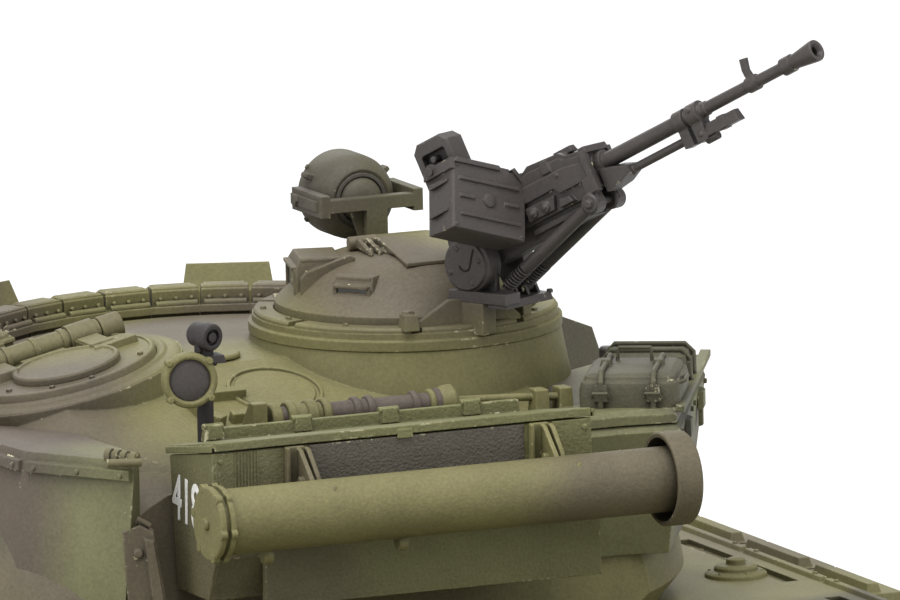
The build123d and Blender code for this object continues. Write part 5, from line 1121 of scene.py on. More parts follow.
work = bmesh.new()
right_top = [(49.0, -62.0), (59.0, -64.0), (73.0, -38.0), (87.0, -12.5), (76.0, -4.0), (50.0, -20.0),
             (38.5, -56.0), (38.5, -62.0)]
right_low = [(50.5, -58.0), (58.0, -60.0), (71.0, -37.0), (83.0, -13.5), (75.0, -6.0), (52.0, -21.0),
             (40.0, -54.0), (40.0, -58.5)]
walled(work, right_top, right_low, 124.0, 100.2, 1.2)
lid_top = [(49.4, -61.4), (58.7, -63.2), (72.4, -38.4), (86.0, -12.9), (75.8, -5.0), (50.6, -20.6),
           (39.0, -56.0), (39.0, -61.4)]
walled(work, lid_top, lid_top, 126.8, 124.2, 1.0)
for (x_a, y_a), (x_b, y_b) in zip(right_top[1:4], right_top[2:5]):
    out = Vector((y_b - y_a, -(x_b - x_a), 0)).normalized()
    mid = Vector(((x_a + x_b) / 2, (y_a + y_b) / 2, 120.6))
    strip = set_on(on_turret, mid + out * 0.1, out, (0, 0, 1))
    half = Vector((x_b - x_a, y_b - y_a)).length / 2
    screws(work, [(1.6, v, 0.0) for v in (-half + 3, half - 3)], 0.5, 0.4, strip)
    plate(work, (-1.4, -2.4, -0.2), (2.2, 2.4, 0.9), strip, 0.3)
    plate(work, (-4.6, -1.0, -0.2), (-1.0, 1.0, 0.6), strip, 0.2)
ledge = [(59.6, -64.6), (88.0, -12.8), (86.4, -11.8), (58.4, -63.4)]
cut_plate(work, ledge, 126.2, 127.4, on_turret)
fitted(work, "right_side_bin", "turret", bin_olive, soften=0.25)

work = bmesh.new()
case_ahead = Vector((0.49, 0.87, 0)).normalized()
case = set_on(on_turret, Vector((56.6, -48.6, 126.8)), (0, 0, 1), (case_ahead.y, -case_ahead.x, 0))


def soft_box(work, low, high, place, round_by):
    """A case with a rounded rim and a slightly domed lid."""
    (x_a, y_a, z_a), (x_b, y_b, z_b) = low, high
    rows = []
    for z, inset in ((z_a, 0.0), (z_b - round_by, 0.0), (z_b - round_by * 0.35, round_by * 0.25),
                     (z_b, round_by)):
        row = []
        for cx, cy, start in ((x_b, y_b, 0), (x_a, y_b, 90), (x_a, y_a, 180), (x_b, y_a, 270)):
            centre_x = cx - (round_by if cx > x_a else -round_by)
            centre_y = cy - (round_by if cy > y_a else -round_by)
            for k in range(5):
                angle = radians(start + k * 22.5)
                row.append(place @ Vector((centre_x + (round_by - inset * 0.8) * cos(angle),
                                           centre_y + (round_by - inset * 0.8) * sin(angle), z)))
        rows.append(row)
    rings(work, rows)


soft_box(work, (-8.6, -11.0, -0.2), (9.4, 9.6, 5.0), case, 1.8)
soft_box(work, (-7.9, -10.2, 4.6), (8.7, 8.8, 5.9), case, 1.6)
soft_box(work, (-6.0, 12.4, -0.2), (8.6, 24.4, 5.6), case, 1.6)
for x in (-4.6, 4.8):
    rod(work, [(x, -11.5, 0.0), (x, -11.4, 4.6), (x, -9.6, 6.2), (x, 8.2, 6.2), (x, 10.0, 4.6),
               (x, 10.1, 0.0)], 0.55, case, 8)
    plate(work, (x - 1.4, -11.9, 1.2), (x + 1.4, -10.7, 4.2), case, 0.3)
    plate(work, (x - 1.1, -1.2, 5.7), (x + 1.1, 1.6, 7.0), case, 0.3)
    rod(work, [(x - 1.5, -12.0, 2.0), (x - 1.3, -12.9, 2.9), (x + 1.3, -12.9, 2.9), (x + 1.5, -12.0, 2.0)],
        0.3, case, 8)
for y in (14.8, 21.6):
    rod(work, [(-6.5, y, 0.0), (-6.4, y, 4.6), (-5.2, y, 6.0), (7.6, y, 6.0), (9.0, y, 4.6), (9.1, y, 0.0)],
        0.5, case, 8)
    plate(work, (8.3, y - 1.2, 1.2), (9.5, y + 1.2, 4.0), case, 0.3)
rod(work, [(-3.0, 4.6, 5.8), (-2.8, 4.8, 8.2), (3.0, 4.8, 8.2), (3.2, 4.6, 5.8)], 0.4, case, 8)
rod(work, [(8.9, -7.6, 3.8), (10.2, -7.4, 4.4), (10.2, -2.6, 4.4), (8.9, -2.4, 3.8)], 0.4, case, 8)
case_paint = sprayed("case_dark_olive", (0.085, 0.080, 0.048), patches=0.5, chip_share=0.5,
                     grain=0.5, shift=1.7)
fitted(work, "strapped_case", "turret", case_paint, soften=0.15)

# ---- Main gun ----
# A long smooth barrel in four jacketed lengths with strapped joints, an oval fume extractor
# and a muzzle ring, behind a canvas-look mantlet cover clamped round its root.
gun_pivot = Vector(joints["gun_elevation"]["pos_m"])
on_bore = set_on(Matrix.Translation(gun_pivot) @ whole, (0, 0, 0), (0, 1, 0))
work = bmesh.new()
breech_end = [(0, 3.0), (7.0, 3.0), (7.0, 31.6), (7.6, 31.8), (7.6, 33.4), (6.5, 33.6), (6.3, 34.4)]
sleeve_bands = [(r, start + rise) for start in (66.0, 104.0, 130.0)
                for r, rise in ((6.3, -0.4), (6.85, 0), (6.85, 2.6), (6.3, 3.0))]
fume_extractor = [(6.2, 136.0), (6.6, 136.6), (7.6, 138.2), (8.0, 141.0), (8.0, 170.0), (7.6, 172.6),
                  (6.6, 174.0), (6.1, 174.4)]
front_sleeve = [(5.9, 253.0), (6.35, 253.4), (6.35, 256.0), (5.9, 256.4), (5.8, 286.8)]
muzzle = [(6.3, 287.2), (6.5, 288.0), (6.5, 294.0), (6.1, 294.9), (4.4, 295.0), (3.9, 294.4),
          (3.9, 265.0), (0, 265.0)]
turned(work, breech_end + sleeve_bands + fume_extractor + front_sleeve + muzzle, on_bore, 72)
for z in (32.6, 67.3, 105.3, 131.3, 254.7):
    for heading in (35, 145, 270):
        angle = radians(heading)
        reach = 6.4 if z > 200 else (7.6 if z < 40 else 6.85)
        strap_lug = set_on(on_bore, (reach * cos(angle), reach * sin(angle), z),
                           (cos(angle), sin(angle), 0), (0, 0, 1))
        plate(work, (-1.0, -1.1, -0.5), (1.0, 1.1, 0.9), strap_lug, 0.2)
        screws(work, [(0, 0, 0.9)], 0.5, 0.35, strap_lug)
for start, end in ((37.0, 64.0), (71.0, 101.0), (109.0, 127.0), (176.5, 214.0), (216.0, 251.0)):
    plate(work, (-0.55, 5.9, start), (0.55, 6.5, end), on_bore, 0.15)
for n in range(10):
    angle = radians(36 * n)
    screws(work, [(0, 0, 0)], 0.5, 0.35, set_on(on_bore, (8.0 * cos(angle), 8.0 * sin(angle), 143.5),
                                                (cos(angle), sin(angle), 0)))
    screws(work, [(0, 0, 0)], 0.5, 0.35, set_on(on_bore, (8.0 * cos(angle), 8.0 * sin(angle), 168.0),
                                                (cos(angle), sin(angle), 0)))
fitted(work, "barrel_jacket", "gun", hull_paint, soften=0.12, stands_for=["gun_barrel"])
canvas = sprayed("mantlet_canvas", (0.118, 0.112, 0.060), patches=0.6, chip_share=0.0, grain=1.2,
                 roughness=0.85, rubbed_and_highlit=1.25)
work = bmesh.new()
fold_rows = []
for z, width, height, sag in ((3.0, 11.6, 9.4, 0), (6.5, 12.2, 9.9, 0.4), (10.0, 11.3, 9.0, 0.1),
                              (13.5, 11.9, 9.6, 0.6), (17.0, 10.8, 8.6, 0.2), (20.5, 11.2, 9.0, 0.6),
                              (24.0, 9.8, 8.2, 0.2), (27.0, 8.6, 8.0, 0), (28.6, 7.9, 7.9, 0),
                              (28.6, 7.05, 7.05, 0)):
    row = []
    for k in range(48):
        angle = 2 * pi * k / 48
        squareness = 1 / max(abs(cos(angle)), abs(sin(angle))) ** 0.45
        blend = min(1.0, max(0.0, (28.0 - z) / 20.0))
        swell = 1 + (squareness - 1) * blend
        fold = 0.28 * blend * sin(angle * 9 + z * 0.7)
        row.append(on_bore @ Vector(((width + fold) * cos(angle) * swell,
                                     (height + fold) * sin(angle) * swell - sag * blend, z)))
    fold_rows.append(row)
rings(work, fold_rows)
fitted(work, "mantlet_cover", "gun", canvas, soften=0, crease=60)
work = bmesh.new()
turned(work, [(7.6, 27.2), (8.5, 27.2), (8.7, 27.6), (8.7, 28.8), (8.5, 29.2), (7.1, 29.2), (7.1, 27.2),
              (7.6, 27.2)], on_bore, 56)
plate(work, (-1.6, 8.2, 26.9), (1.6, 9.8, 29.5), on_bore, 0.2)
rod(work, [(-2.2, 9.2, 28.2), (2.2, 9.2, 28.2)], 0.5, on_bore, 8)
fitted(work, "mantlet_clamp", "gun", hull_paint, soften=0.12)

# ---- Smoke launchers and antenna feet ----
# Short tubes in fans on both cheeks above the wedges, each with a cap chained to its bracket,
# and two whip-antenna feet on the back of the roof.
work = bmesh.new()
for x, y, z in ((-54.0, 30.0, 126.0), (54.0, 30.0, 126.0)):
    side = -1 if x < 0 else 1
    for n in range(4):
        root = Vector((x + side * n * 3.4, y - n * 7.4, z - n * 1.6))
        aim = Vector((side * (0.42 + 0.05 * n), 0.74, 0.52)).normalized()
        tube = set_on(on_turret, root, aim)
        turned(work, [(0, -3.4), (2.1, -3.4), (2.4, -2.8), (2.4, 4.6), (2.7, 4.8), (2.7, 5.8), (2.3, 6.2),
                      (0, 6.2)], tube, 24)
        plate(work, (-2.7, -2.8, -3.0), (2.7, 2.8, -0.8), tube, 0.3)
        plate(work, (root.x - 2.6, root.y - 2.6, root.z - 9.0), (root.x + 2.6, root.y + 2.6, root.z - 1.0),
              on_turret, 0.4)
fitted(work, "smoke_launchers", "turret", hull_paint)
work = bmesh.new()
for x, y, z in ((-60.0, -22.0, 127.0), (66.0, -16.0, 123.0)):
    foot = on_turret @ Matrix.Translation((x, y, z))
    turned(work, [(0, 7.4), (1.0, 7.4), (1.3, 7.0), (1.3, 5.2), (2.1, 4.6), (2.3, 2.0), (3.0, 1.4),
                  (3.4, 0.8), (3.4, -0.5), (0, -0.5)], foot, 28)
    screws(work, bolt_circle(2.8, 0.9, (0, 90, 180, 270)), 0.35, 0.3, foot)
fitted(work, "antenna_feet", "turret", gun_paint, soften=0.1)

# ---- Cupola ----
# A two-level cast ring carries a domed hood with periscope housings, a folded hatch plate
# and the clamps of the machine gun's mount. Sprayed olive, screw heads left proud.
on_cupola = Matrix.Translation(cupola_axis) @ whole
work = bmesh.new()
for start, end in ((-62, -14), (-10, 34), (38, 86), (90, 141), (145, 196), (200, 249), (253, 294)):
    turned(work, [(23.7, -0.3), (27.3, -0.3), (27.3, 0.5), (26.9, 0.9), (23.7, 0.9)],
           on_cupola, 14, (start, end))
turned(work, [(27.5, -3.2), (28.3, -3.2), (28.3, -1.4), (27.5, -1.1)], on_cupola, 72, (0, 359.9))
for turn_to in range(12, 372, 30):
    spot = (25.6 * cos(radians(turn_to)), 25.6 * sin(radians(turn_to)), 0.9)
    screws(work, [spot], 0.62, 0.5, on_cupola)
fitted(work, "cupola_ring_plates", "cupola_ring", hull_paint, soften=0.15)

guarded_width = 12.6            # only the widest block has a guard beside it
periscopes = ((232, 16.0, 8.2, 2.4, 8.8, 6.2), (286, 16.8, 12.6, 0.6, 10.8, 6.4),
              (330, 17.0, 7.4, 1.6, 8.6, 5.4), (20, 17.0, 7.4, 1.6, 8.6, 5.4))
work = bmesh.new()
for heading, reach, width, low, high, depth in periscopes:
    outward = Vector((sin(radians(heading)), cos(radians(heading)), 0))
    housing = set_on(on_cupola, outward * reach, (0, 0, 1), (outward.y, -outward.x, 0))
    half, back, front = width / 2, -depth / 2 - 2.0, depth / 2 + 0.3
    outline_low = [(-half, back), (half, back), (half, front), (-half, front)]
    rings(work, [[housing @ Vector((x, y, low)) for x, y in outline_low],
                 [housing @ Vector((x, y, high - 1.6)) for x, y in outline_low],
                 [housing @ Vector((x * 0.9, y * (0.9 if y < 0 else 0.74), high)) for x, y in outline_low]])
    plate(work, (-half + 0.6, front - 0.5, high - 2.2), (half - 0.6, front + 0.9, high - 1.5), housing)
    plate(work, (-half + 0.6, front - 0.5, low + 1.0), (half - 0.6, front + 0.5, low + 1.6), housing)
    if width == guarded_width:
        guard = set_on(on_cupola, outward * 0.1, (outward.y, -outward.x, 0), outward)
        cut_plate(work, [(19.7, 0.3), (19.7, 7.4), (18.6, 8.6), (10.6, 11.4), (9.6, 10.8), (16.8, 0.3)],
                  -7.9, -6.1, guard, 0.2)
    for side in (-1, 1):
        x = side * (half - 0.7)
        plate(work, (x - 0.4, front - 0.5, low + 1.0), (x + 0.4, front + 0.5, high - 2.0), housing)
fitted(work, "periscope_housings", "cupola_ring", hull_paint)

work = bmesh.new()
for heading, reach, width, low, high, depth in periscopes:
    outward = Vector((sin(radians(heading)), cos(radians(heading)), 0))
    housing = set_on(on_cupola, outward * reach, (0, 0, 1), (outward.y, -outward.x, 0))
    half, front = width / 2, depth / 2 + 0.3
    plate(work, (-half + 0.9, front - 0.2, low + 1.5), (half - 0.9, front + 0.12, high - 2.2), housing)
fitted(work, "periscope_glass", "cupola_ring", dark_glass, soften=0.08)

# The cover is a low pan with a folded plate over its back half, a hinge bar and two hooks.
work = bmesh.new()
crown = 11.4
turned(work, [(0, crown + 0.5), (6.6, crown + 0.4), (7.2, crown + 0.1), (7.2, crown - 1.4),
              (0.1, crown - 1.4)], on_cupola, 48)
fold_view = side_view_of(on_cupola)
cut_plate(work, [(-13.8, crown - 1.5), (-13.8, crown - 0.8), (-0.8, crown + 1.9), (6.2, crown + 1.4),
                 (9.6, crown - 0.2), (9.4, crown - 0.5), (0.0, crown + 0.3), (-8.0, crown - 0.1)], -5.4,
          7.4, fold_view, 0.1)
for x in (-8.7, -6.9):
    cut_plate(work, [(2.6, crown), (2.6, crown + 1.6), (0.8, crown + 1.8), (-4.8, crown + 0.2),
                     (-5.0, crown - 0.5), (-0.5, crown)], x, x + 0.8, fold_view, 0.1)
rod(work, [(-9.8, 2.4, crown + 0.8), (-4.6, 1.8, crown + 1.0)], 1.25, on_cupola, 20)
plate(work, (6.5, -2.7, crown + 0.1), (12.0, 2.7, crown + 1.5), on_cupola, 0.2)
rod(work, [(12.0, -2.7, crown + 0.9), (12.0, 2.7, crown + 0.9)], 1.0, on_cupola, 20)
fitted(work, "commander_cover_plate", "commander_cover", hull_paint, soften=0.15,
       stands_for=["commander_hatch"])

work = bmesh.new()
plate(work, (-11.4, -26.4, 0.4), (-8.4, -23.0, 3.4), on_cupola, 0.3)
screws(work, [(-9.9, -24.6, 3.4)], 1.1, 0.6, on_cupola, 12)
web_view = on_cupola @ Matrix(((1, 0, 0, 0), (0, 0, -1, 0), (0, 1, 0, 0), (0, 0, 0, 1)))
cut_plate(work, [(-8.6, 0.6), (-8.6, 1.5), (-2.2, 5.3), (1.6, 5.3), (1.6, 0.6)], 24.0, 25.2, web_view, 0.1)
cut_plate(work, [(7.2, 0.6), (7.2, 4.6), (8.6, 4.6), (12.0, 1.4), (12.0, 0.6)], 23.6, 24.8, web_view, 0.1)
turned(work, [(0, 4.5), (3.3, 4.5), (3.5, 4.2), (3.5, 3.1), (4.1, 2.9), (4.1, 0.9), (0.1, 0.9)],
       on_cupola @ Matrix.Translation((4.4, -21.8, 0)), 48)
for x in (0.4, 8.4):
    rod(work, [(x, -23.6, 2.4), (x, -21.4, 2.4)], 0.9, on_cupola, 14)
    plate(work, (x - 1.2, -23.4, 0.9), (x + 1.2, -20.6, 2.6), on_cupola, 0.1)
fitted(work, "gun_ring_clamps", "cupola_ring", hull_paint, soften=0.15)

# ---- Searchlight ----
# A pot-shaped lamp with a stepped back and a dished boss, hung between the arms of a
# bent bar on a post. Its yoke turns with the cupola; the pot tilts on two pins.
lamp_pivot = Vector(joints["searchlight_tilt"]["pos_m"])
on_lamp = set_on(Matrix.Translation(lamp_pivot) @ whole, (0, 0, 0), (0, -1, 0))
work = bmesh.new()
turned(work, [(0, 3.2), (1.8, 3.1), (3.2, 2.6), (3.9, 1.7), (4.1, 0.9), (4.1, 0.0), (0, 0.0)],
       on_lamp @ Matrix.Translation((0, 0, 4.6)), 56)
turned(work, [(4.9, 0.0), (4.9, 1.2), (5.5, 1.5), (6.0, 1.2), (6.6, 0.6), (7.3, -0.9), (7.75, -2.6),
              (7.8, -4.2), (7.8, -9.6), (7.55, -10.2), (7.0, -10.6), (6.8, -10.6), (6.8, -9.2),
              (4.9, -9.2)], on_lamp @ Matrix.Translation((0, 0, 4.6)), 64)
for heading in (28, 152):
    lug = set_on(on_lamp, (7.7 * cos(radians(heading)), 7.7 * sin(radians(heading)), -1.2),
                 (cos(radians(heading)), sin(radians(heading)), 0), (0, 0, 1))
    plate(work, (-1.6, -0.7, -0.4), (1.6, 0.7, 1.5), lug, 0.35)
for heading in (40, 140, 215, 325):
    lug = set_on(on_lamp, (7.8 * cos(radians(heading)), 7.8 * sin(radians(heading)), -4.4),
                 (cos(radians(heading)), sin(radians(heading)), 0), (0, 0, 1))
    screws(work, [(0, 0, 0)], 0.55, 0.4, lug)
for side in (-1, 1):
    rod(work, [(side * 7.4, 0, 0), (side * 9.7, 0, 0)], 1.0, Matrix.Translation(lamp_pivot) @ whole)
fitted(work, "searchlight_pot", "lamp", hull_paint, stands_for=["searchlight"])
work = bmesh.new()
turned(work, [(4.95, 0.0), (4.95, 1.45), (4.2, 1.45), (4.2, 0.4), (4.0, 0.4), (4.0, 0.0)],
       on_lamp @ Matrix.Translation((0, 0, 4.6)), 56)
fitted(work, "searchlight_dark_ring", "lamp", steel_paint, soften=0.1)
work = bmesh.new()
turned(work, [(0, -4.1), (3.5, -4.7), (6.8, -5.9), (6.8, -5.2), (0, -3.4)], on_lamp, 48)
fitted(work, "searchlight_glass", "lamp", dark_glass, soften=0)
work = bmesh.new()
at_lamp = Matrix.Translation(lamp_pivot) @ whole
cut_plate(work, [(-10.4, -9.2), (-9.6, -9.6), (10.0, -9.6), (10.4, -8.8), (10.4, 2.3), (8.4, 2.3),
                 (8.4, -7.4), (-8.4, -7.4), (-8.4, 2.3), (-10.4, 2.3)], -1.0, 1.0, at_lamp)
plate(work, (-0.6, -9.4, -9.6), (2.2, -7.6, -1.0), at_lamp)
cut_plate(work, [(-0.8, -9.0), (-0.6, -1.2), (-3.6, -1.2)], -0.4, 0.4,
          set_on(at_lamp, (0, -8.5, 0), (0, -1, 0)))
for side in (-1, 1):
    screws(work, [(0, 0, 0)], 1.3, 0.7, set_on(at_lamp, (side * 10.2, 0, 0), (side, 0, 0)))
    screws(work, [(side * 3.4, -9.6, 0)], 0.5, 0.3, at_lamp)
fitted(work, "searchlight_yoke", "cupola_ring", hull_paint)

# ---- Roof machine gun ----
# A moulded gun on a drum-sided cradle: stepped receiver with a hinged top cover, jacketed
# barrel over a gas tube, and two spring struts below. Sprayed warm dark grey.
roof_pivot = Vector(joints["roof_gun_elevation"]["pos_m"])
gun_right = Vector(joints["roof_gun_elevation"]["axis"]).normalized()
gun_rise = radians(26.8)
level_ahead = Vector((0, 0, 1)).cross(gun_right).normalized()
gun_ahead = level_ahead * cos(gun_rise) + Vector((0, 0, 1)) * sin(gun_rise)
gun_axes = Matrix((gun_right, gun_ahead, gun_right.cross(gun_ahead))).transposed().to_4x4()
on_gun = Matrix.Translation(roof_pivot) @ gun_axes @ whole
bore = 6.05
work = bmesh.new()
side_view = set_on(on_gun, (0, 0, 0), (1, 0, 0), (0, 1, 0))
cut_plate(work, [(-5, 1.6), (27.4, 1.4), (28.0, 2.2), (30.6, 2.2), (30.6, 8.6), (26.2, 9.2), (24.6, 10.1),
                 (17.0, 10.3), (12.0, 9.6), (-5, 9.0)], -3.2, 3.2, side_view)
for side in (-1, 1):
    face = set_on(on_gun, (side * 3.2, 0, 0), (side, 0, 0), (0, 1, 0))
    for outline, height in (
        (((11, 5.4), (21.5, 5.4), (22.6, 4.2), (29.6, 4.2), (29.6, 7.4), (25.2, 8.2), (11, 8.2)), 0.55),
        (((14.0, 2.0), (20.4, 2.0), (21.4, 4.4), (14.0, 4.6)), 0.9),
        (((21.6, 1.8), (25.2, 1.8), (24.6, 3.0), (22.2, 3.4)), 1.1),
        (((28.2, 1.4), (31.2, 1.4), (31.2, 9.2), (29.8, 9.2), (29.8, 4.6), (28.2, 4.2)), 1.0),
    ):
        shape = [(y, z) for y, z in outline]
        if side < 0:
            shape = [(y, -z) for y, z in outline]
        cut_plate(work, shape, -0.2, height, face, 0.12)
    bolt_row = ((15.8, 3.2), (18.8, 3.2))
    screws(work, [(y, z * (1 if side > 0 else -1), 0.9) for y, z in bolt_row], 1.0, 0.5, face, 12)
    screws(work, [(y, z * (1 if side > 0 else -1), 0.9) for y, z in bolt_row], 0.5, 0.8, face, 8)
    screws(work, [(y, z * (1 if side > 0 else -1), 0.55) for y, z in ((12.5, 7.4), (23.4, 7.4))], 0.4,
           0.2, face, 8)
plate(work, (-2.9, -4.6, 8.8), (2.9, 12.5, 10.9), on_gun, 0.5)
plate(work, (-3.4, 11.6, 9.4), (3.4, 13.4, 11.4), on_gun, 0.2)
cut_plate(work, [(13.6, 9.8), (17.2, 11.5), (24.6, 11.0), (26.0, 10.0), (30.4, 9.4), (30.4, 8.4),
                 (13.6, 9.2)], -2.7, 2.7, side_view)
plate(work, (-3.5, 20.2, 8.6), (3.5, 22.4, 10.9), on_gun, 0.25)
plate(work, (-1.0, 22.0, 10.4), (1.0, 26.6, 11.6), on_gun, 0.3)
plate(work, (-3.5, 29.4, 8.6), (3.5, 31.2, 9.9), on_gun, 0.2)
cut_plate(work, [(31.0, 5.2), (31.0, 0.6), (34.6, 1.0), (37.6, 2.2), (37.6, 3.4), (34.2, 4.6)], -2.0, 2.0,
          side_view, 0.2)
rod(work, [(0, y, bore) for y in (29, 32.2, 32.3, 50.2)], [2.2, 2.2, 1.5, 1.45], on_gun, 24)
rod(work, [(0, y, bore) for y in (50, 56.4, 56.5, 57.4, 57.5, 78.0)],
    [1.45, 1.45, 1.35, 1.35, 1.15, 1.08], on_gun, 24)
rod(work, [(0, y, bore) for y in (49.9, 50.0, 52.4, 52.5)], [1.5, 2.0, 2.0, 1.5], on_gun, 24)
rod(work, [(0, y, bore) for y in (53.2, 53.3, 55.8, 56.0)], [1.5, 2.1, 2.1, 1.5], on_gun, 24)
plate(work, (-1.1, 50.1, bore - 5.0), (1.1, 52.3, bore), on_gun, 0)
plate(work, (-1.25, 53.3, bore - 5.2), (1.25, 55.8, bore), on_gun, 0)
screws(work, [(54.6, 2.2, 0.95), (54.6, 0.9 + bore, 1.8)], 0.5, 0.5,
       set_on(on_gun, (0, 0, 0), (1, 0, 0), (0, 1, 0)), 8)
rod(work, [(0, y, bore - 3.5) for y in (36.8, 37.6, 37.7, 50.4)], [1.15, 0.95, 0.8, 0.8], on_gun, 16)
plate(work, (-1.05, 55.6, bore - 4.7), (1.05, 63.4, bore - 2.5), on_gun, 0.35)
plate(work, (-0.85, 58.6, bore - 4.9), (0.85, 60.2, bore - 2.3), on_gun, 0.1)
rod(work, [(0, 54.6, bore - 5.2), (0, 57.4, bore - 5.2)], 0.75, on_gun)
rod(work, [(0, 67.6, bore), (0, 69.9, bore)], 1.45, on_gun, 20)
cut_plate(work, [(67.9, bore + 1), (69.4, bore + 1), (69.0, bore + 2.6), (69.5, bore + 4.7),
                 (68.1, bore + 4.9), (67.7, bore + 2.8)], -0.45, 0.45, side_view)
rod(work, [(0, y, bore) for y in (76.2, 76.3, 78.6, 78.7)], [1.1, 1.65, 1.65, 1.2], on_gun, 24)
turned(work, [(0.85, 3.2), (0.85, 4.9), (1.35, 5.6), (1.85, 5.7), (2.0, 5.5), (2.0, 4.9), (1.3, -0.2),
              (0.85, -0.2)], set_on(on_gun, (0, 78.8, bore), (0, 1, 0)), 28)
turned(work, [(0, 0), (1.2, 0), (1.2, 3.4), (0, 3.4)], set_on(on_gun, (0, 78.6, bore), (0, 1, 0)), 20)
for side in (-1, 1):
    upper, lower = Vector((side * 3.0, 28.2, 0.0)), Vector((side * 3.0, 2.6, -6.2))
    share = (upper - lower).normalized()
    rod(work, [upper, lower + share * 6.0], 1.25, on_gun, 16)
    rod(work, [lower + share * 6.0, lower], 0.75, on_gun, 12)
    coils, coil_steps = 8, 12
    round_strut = set_on(on_gun, lower + share * 0.6, share)
    spring_r = 1.12
    rod(work, [(spring_r * cos(2 * pi * n / coil_steps), spring_r * sin(2 * pi * n / coil_steps),
                n * 5.6 / (coils * coil_steps)) for n in range(coils * coil_steps + 1)], 0.26,
        round_strut, 6)
    turned(work, [(0, -1.6), (1.6, -1.6), (1.9, -1.2), (1.9, 1.2), (1.6, 1.6), (0, 1.6)],
           set_on(on_gun, upper, (1, 0, 0)), 20)
    screws(work, [(0, 0, 1.6)], 0.9, 0.6, set_on(on_gun, upper, (side, 0, 0)), 6)
    plate(work, (side * 3.0 - 0.8, 27.4, -0.6), (side * 3.0 + 0.8, 30.2, 3.0), on_gun, 0)
rod(work, [(-4.4, 28.2, 0), (4.4, 28.2, 0)], 0.7, on_gun)
plate(work, (-2.4, -2.0, -1.8), (2.4, 26.4, 1.8), on_gun, 0)
plate(work, (-3.0, 13.2, -0.4), (3.0, 27.0, 0.6), on_gun, 0)
rod(work, [(-6.2, 0, 0), (7.2, 0, 0)], 1.55, on_gun, 20)
rod(work, [(-3.2, 22.0, 6.9), (-5.4, 22.4, 7.2), (-5.8, 22.8, 8.8)], 0.6, on_gun, 10)
plate(work, (-1.6, -7.0, 3.4), (1.6, -4.6, 7.8), on_gun, 0.5)
fitted(work, "machine_gun_body", "roof_gun", gun_paint, soften=0.14, crease=32,
       stands_for=["machine_gun"])

# The ammunition box hangs on the gun's right side: pressed ribs, a banded lid with one corner
# cut, a plain round boss on its face, and a feed chute with a window behind it.
box_deep = 8.6
face_across, face_out = Vector((0.953, 0.108, -0.282)), Vector((0.220, -0.887, 0.406))
box_spot = Vector((11.0, 12.9, 7.9))
box_place = set_on(Matrix.Translation(on_gun @ box_spot) @ whole, (0, 0, 0), face_out, face_across)
work = bmesh.new()
front_outline = [(-7.8, -6.4), (7.5, -6.4), (7.8, -6.0), (7.8, 3.9), (5.3, 6.4), (-7.8, 6.4)]
rings(work, [[box_place @ Vector((x * shrink + slide, y * shrink + lift, z)) for x, y in front_outline]
             for z, shrink, slide, lift in ((-box_deep, 0.93, 0, 0.4), (-2.0, 0.99, 0, 0),
                                            (-0.5, 1.0, 0, 0), (0.0, 0.965, 0, 0))])
plate(work, (-8.2, 4.7, -box_deep - 0.3), (-7.2, 6.8, 0.1), box_place)
plate(work, (-8.1, 6.0, -box_deep - 0.2), (4.4, 6.9, -0.2), box_place)
cut_plate(work, [(-7.7, 6.0), (2.0, 6.0), (2.4, 6.5), (1.9, 6.95), (-7.3, 6.95)], -1.4, 0.45,
          box_place, 0.1)
cut_plate(work, [(4.6, 6.7), (8.2, 3.3), (8.5, 3.8), (5.2, 7.2)], -6.0, 0.4, box_place)
for x_low, x_high, y_mid in ((-6.6, 6.2, 3.2), (-6.3, 6.6, -3.5), (-6.4, -3.1, -0.1), (3.2, 6.3, -0.1)):
    plate(work, (x_low, y_mid - 0.42, -0.1), (x_high, y_mid + 0.42, 0.42), box_place, 0.16)
turned(work, [(0, 0.4), (1.0, 0.4), (1.25, 0.3), (1.35, 0), (0, -0.1)], box_place, 28)
for y in (-2.5, 3.0):
    plate(work, (-8.2, y - 0.5, -7.0), (-7.6, y + 0.5, -1.6), box_place, 0.2)
screws(work, [(-6.9, 5.6, 0.0), (-6.9, -5.6, 0.0), (6.9, -5.6, 0.0)], 0.3, 0.2, box_place, 10)
plate(work, (6.8, -4.6, -6.6), (9.0, 3.4, -2.2), box_place, 0.2)
chute = set_on(on_gun, (13.4, 7.0, 17.6), (1, 0, 0), (0, 1, 0))
frame_outline = [(-4.2, -5.0), (4.2, -5.0), (4.2, 3.6), (2.8, 5.0), (-2.8, 5.0), (-4.2, 3.6)]
window = [(-2.7, -3.2), (2.9, -3.2), (2.9, 2.2), (2.6, 2.6), (-2.3, 2.6), (-2.7, 2.2)]
rings(work, [[chute @ Vector((x, y, z)) for x, y in outline] for outline, z in (
    (frame_outline, -4.4), (frame_outline, -0.3), ([(x * 0.94, y * 0.95) for x, y in frame_outline], 0.0),
    (window, 0.0), ([(x * 0.97, y * 0.97) for x, y in window], -1.7))])
rod(work, [(-1.2, -0.6, -1.9), (-1.2, -0.6, 0.9)], 1.3, chute, 16)
rod(work, [(-1.2, -0.6, 0.8), (-1.2, -0.6, 1.6)], 0.8, chute, 12)
plate(work, (-2.4, -1.4, -1.8), (0.4, -0.2, 0.6), chute, 0.2)
rod(work, [(-0.2, 1.2, -1.8), (-0.2, 1.2, 0.3)], 0.6, chute, 10)
plate(work, (-4.6, -5.6, -4.0), (4.6, -4.4, 0.3), chute, 0.2)
fitted(work, "ammo_box_shell", "roof_gun", gun_paint, soften=0.22, crease=28,
       stands_for=["ammo_box"])

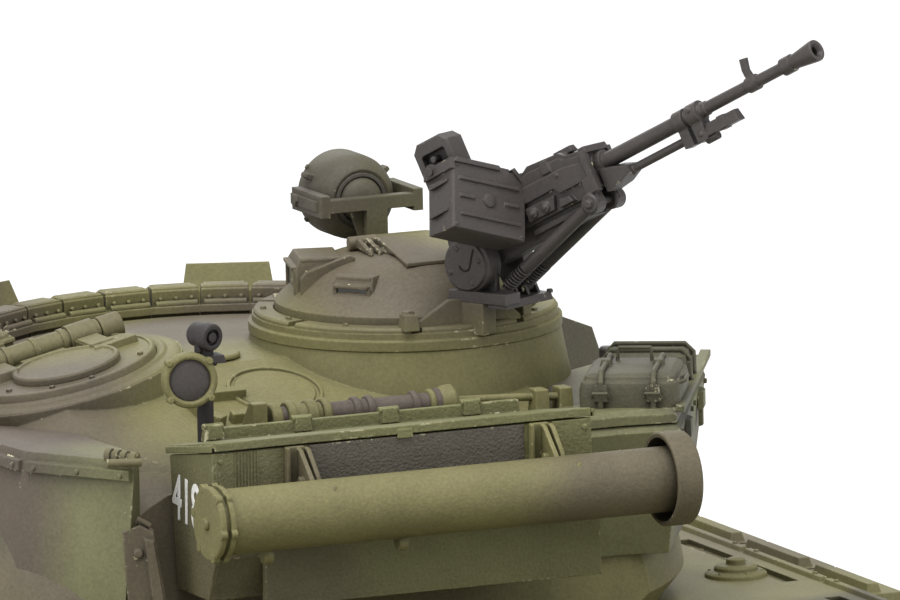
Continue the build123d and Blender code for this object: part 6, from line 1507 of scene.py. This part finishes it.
# The cradle: two cheeks on a foot, a drum cover with a curved slot (a black rod of painted
# shade), and the strut clevises.
level_axes = Matrix((gun_right, level_ahead, Vector((0, 0, 1)))).transposed().to_4x4()
on_cradle = Matrix.Translation(roof_pivot) @ level_axes @ whole
work = bmesh.new()
cradle_side = set_on(on_cradle, (0, 0, 0), (1, 0, 0), (0, 1, 0))
cut_plate(work, [(-3.6, -6.4), (4.8, -6.4), (4.8, -0.5), (4.2, 2.2), (2.4, 4.2), (0, 4.9), (-2.4, 4.2),
                 (-3.6, 2.6)], 4.2, 5.4, cradle_side)
cut_plate(work, [(0.2, -6.6), (4.0, -6.6), (3.8, 0.8), (2.6, 2.6), (0, 3.3), (-2.4, 2.4), (-2.9, 0.8),
                 (-1.6, -3.8)], -6.6, -4.3, cradle_side)
turned(work, [(0, 8.3), (4.3, 8.3), (4.45, 8.15), (4.5, 7.7), (4.95, 7.5), (5.05, 7.2), (5.05, 4.0),
              (0, 4.0)], set_on(on_cradle, (0, 0, 0), (1, 0, 0)), 48)
turned(work, [(0, 2.9), (1.9, 2.9), (2.4, 2.6), (2.4, 0), (0, 0)],
       set_on(on_cradle, (-6.6, 0, 0), (-1, 0, 0)), 32)
for heading in (20, 118, 205, 300):
    angle = radians(heading)
    screws(work, [(3.4 * cos(angle), 3.4 * sin(angle), 8.3)], 0.42, 0.25, cradle_side, 8)
plate(work, (-6.4, 4.4, -7.4), (7.6, 8.8, -6.0), on_cradle, 0.3)
plate(work, (3.8, -3.8, -6.6), (8.1, 9.0, -4.6), on_cradle, 0)
for side in (-1, 1):
    for lug_x in (-1.5, 1.5):
        plate(work, (side * 3.0 + lug_x - 0.4, 4.2, -6.2), (side * 3.0 + lug_x + 0.4, 7.2, -4.4),
              on_cradle, 0.1, 0.8)
    rod(work, [(side * 3.0 - 2.2, 5.7, -5.2), (side * 3.0 + 2.2, 5.7, -5.2)], 0.45, on_cradle, 8)
    screws(work, [(side * 5.9, 8.4, -6.0)], 0.6, 0.5, on_cradle)
fitted(work, "gun_cradle", "cupola_ring", gun_paint, soften=0.16, stands_for=["gun_mount"])
work = bmesh.new()
# The slot itself is painted shade: a thin rod in a near-black material along its curve.
slot_line = [(1.3 * cos(radians(a)), 1.3 * sin(radians(a))) for a in range(200, 330, 15)]
slot_line = [(x + 0.1, y + 0.4) for x, y in slot_line] + [(2.0, 3.2)]
rod(work, [(x, y, 8.2) for x, y in slot_line], 0.26, cradle_side, 8)
shadow_black = bpy.data.materials.new("shadow_black")
shadow_black.use_nodes = True
tree = shadow_black.node_tree
shadow_mottle = noise(tree, step(tree, "TexCoord").outputs["Object"], 800.0, 2.0, 0.6)
tree.links.new(blend_colours(tree, shadow_mottle, (0.004, 0.004, 0.004, 1), (0.014, 0.013, 0.011, 1)),
               tree.nodes["Principled BSDF"].inputs["Base Color"])
tree.nodes["Principled BSDF"].inputs["Roughness"].default_value = 0.8
fitted(work, "cradle_drum_slot_shade", "cupola_ring", shadow_black, soften=0)
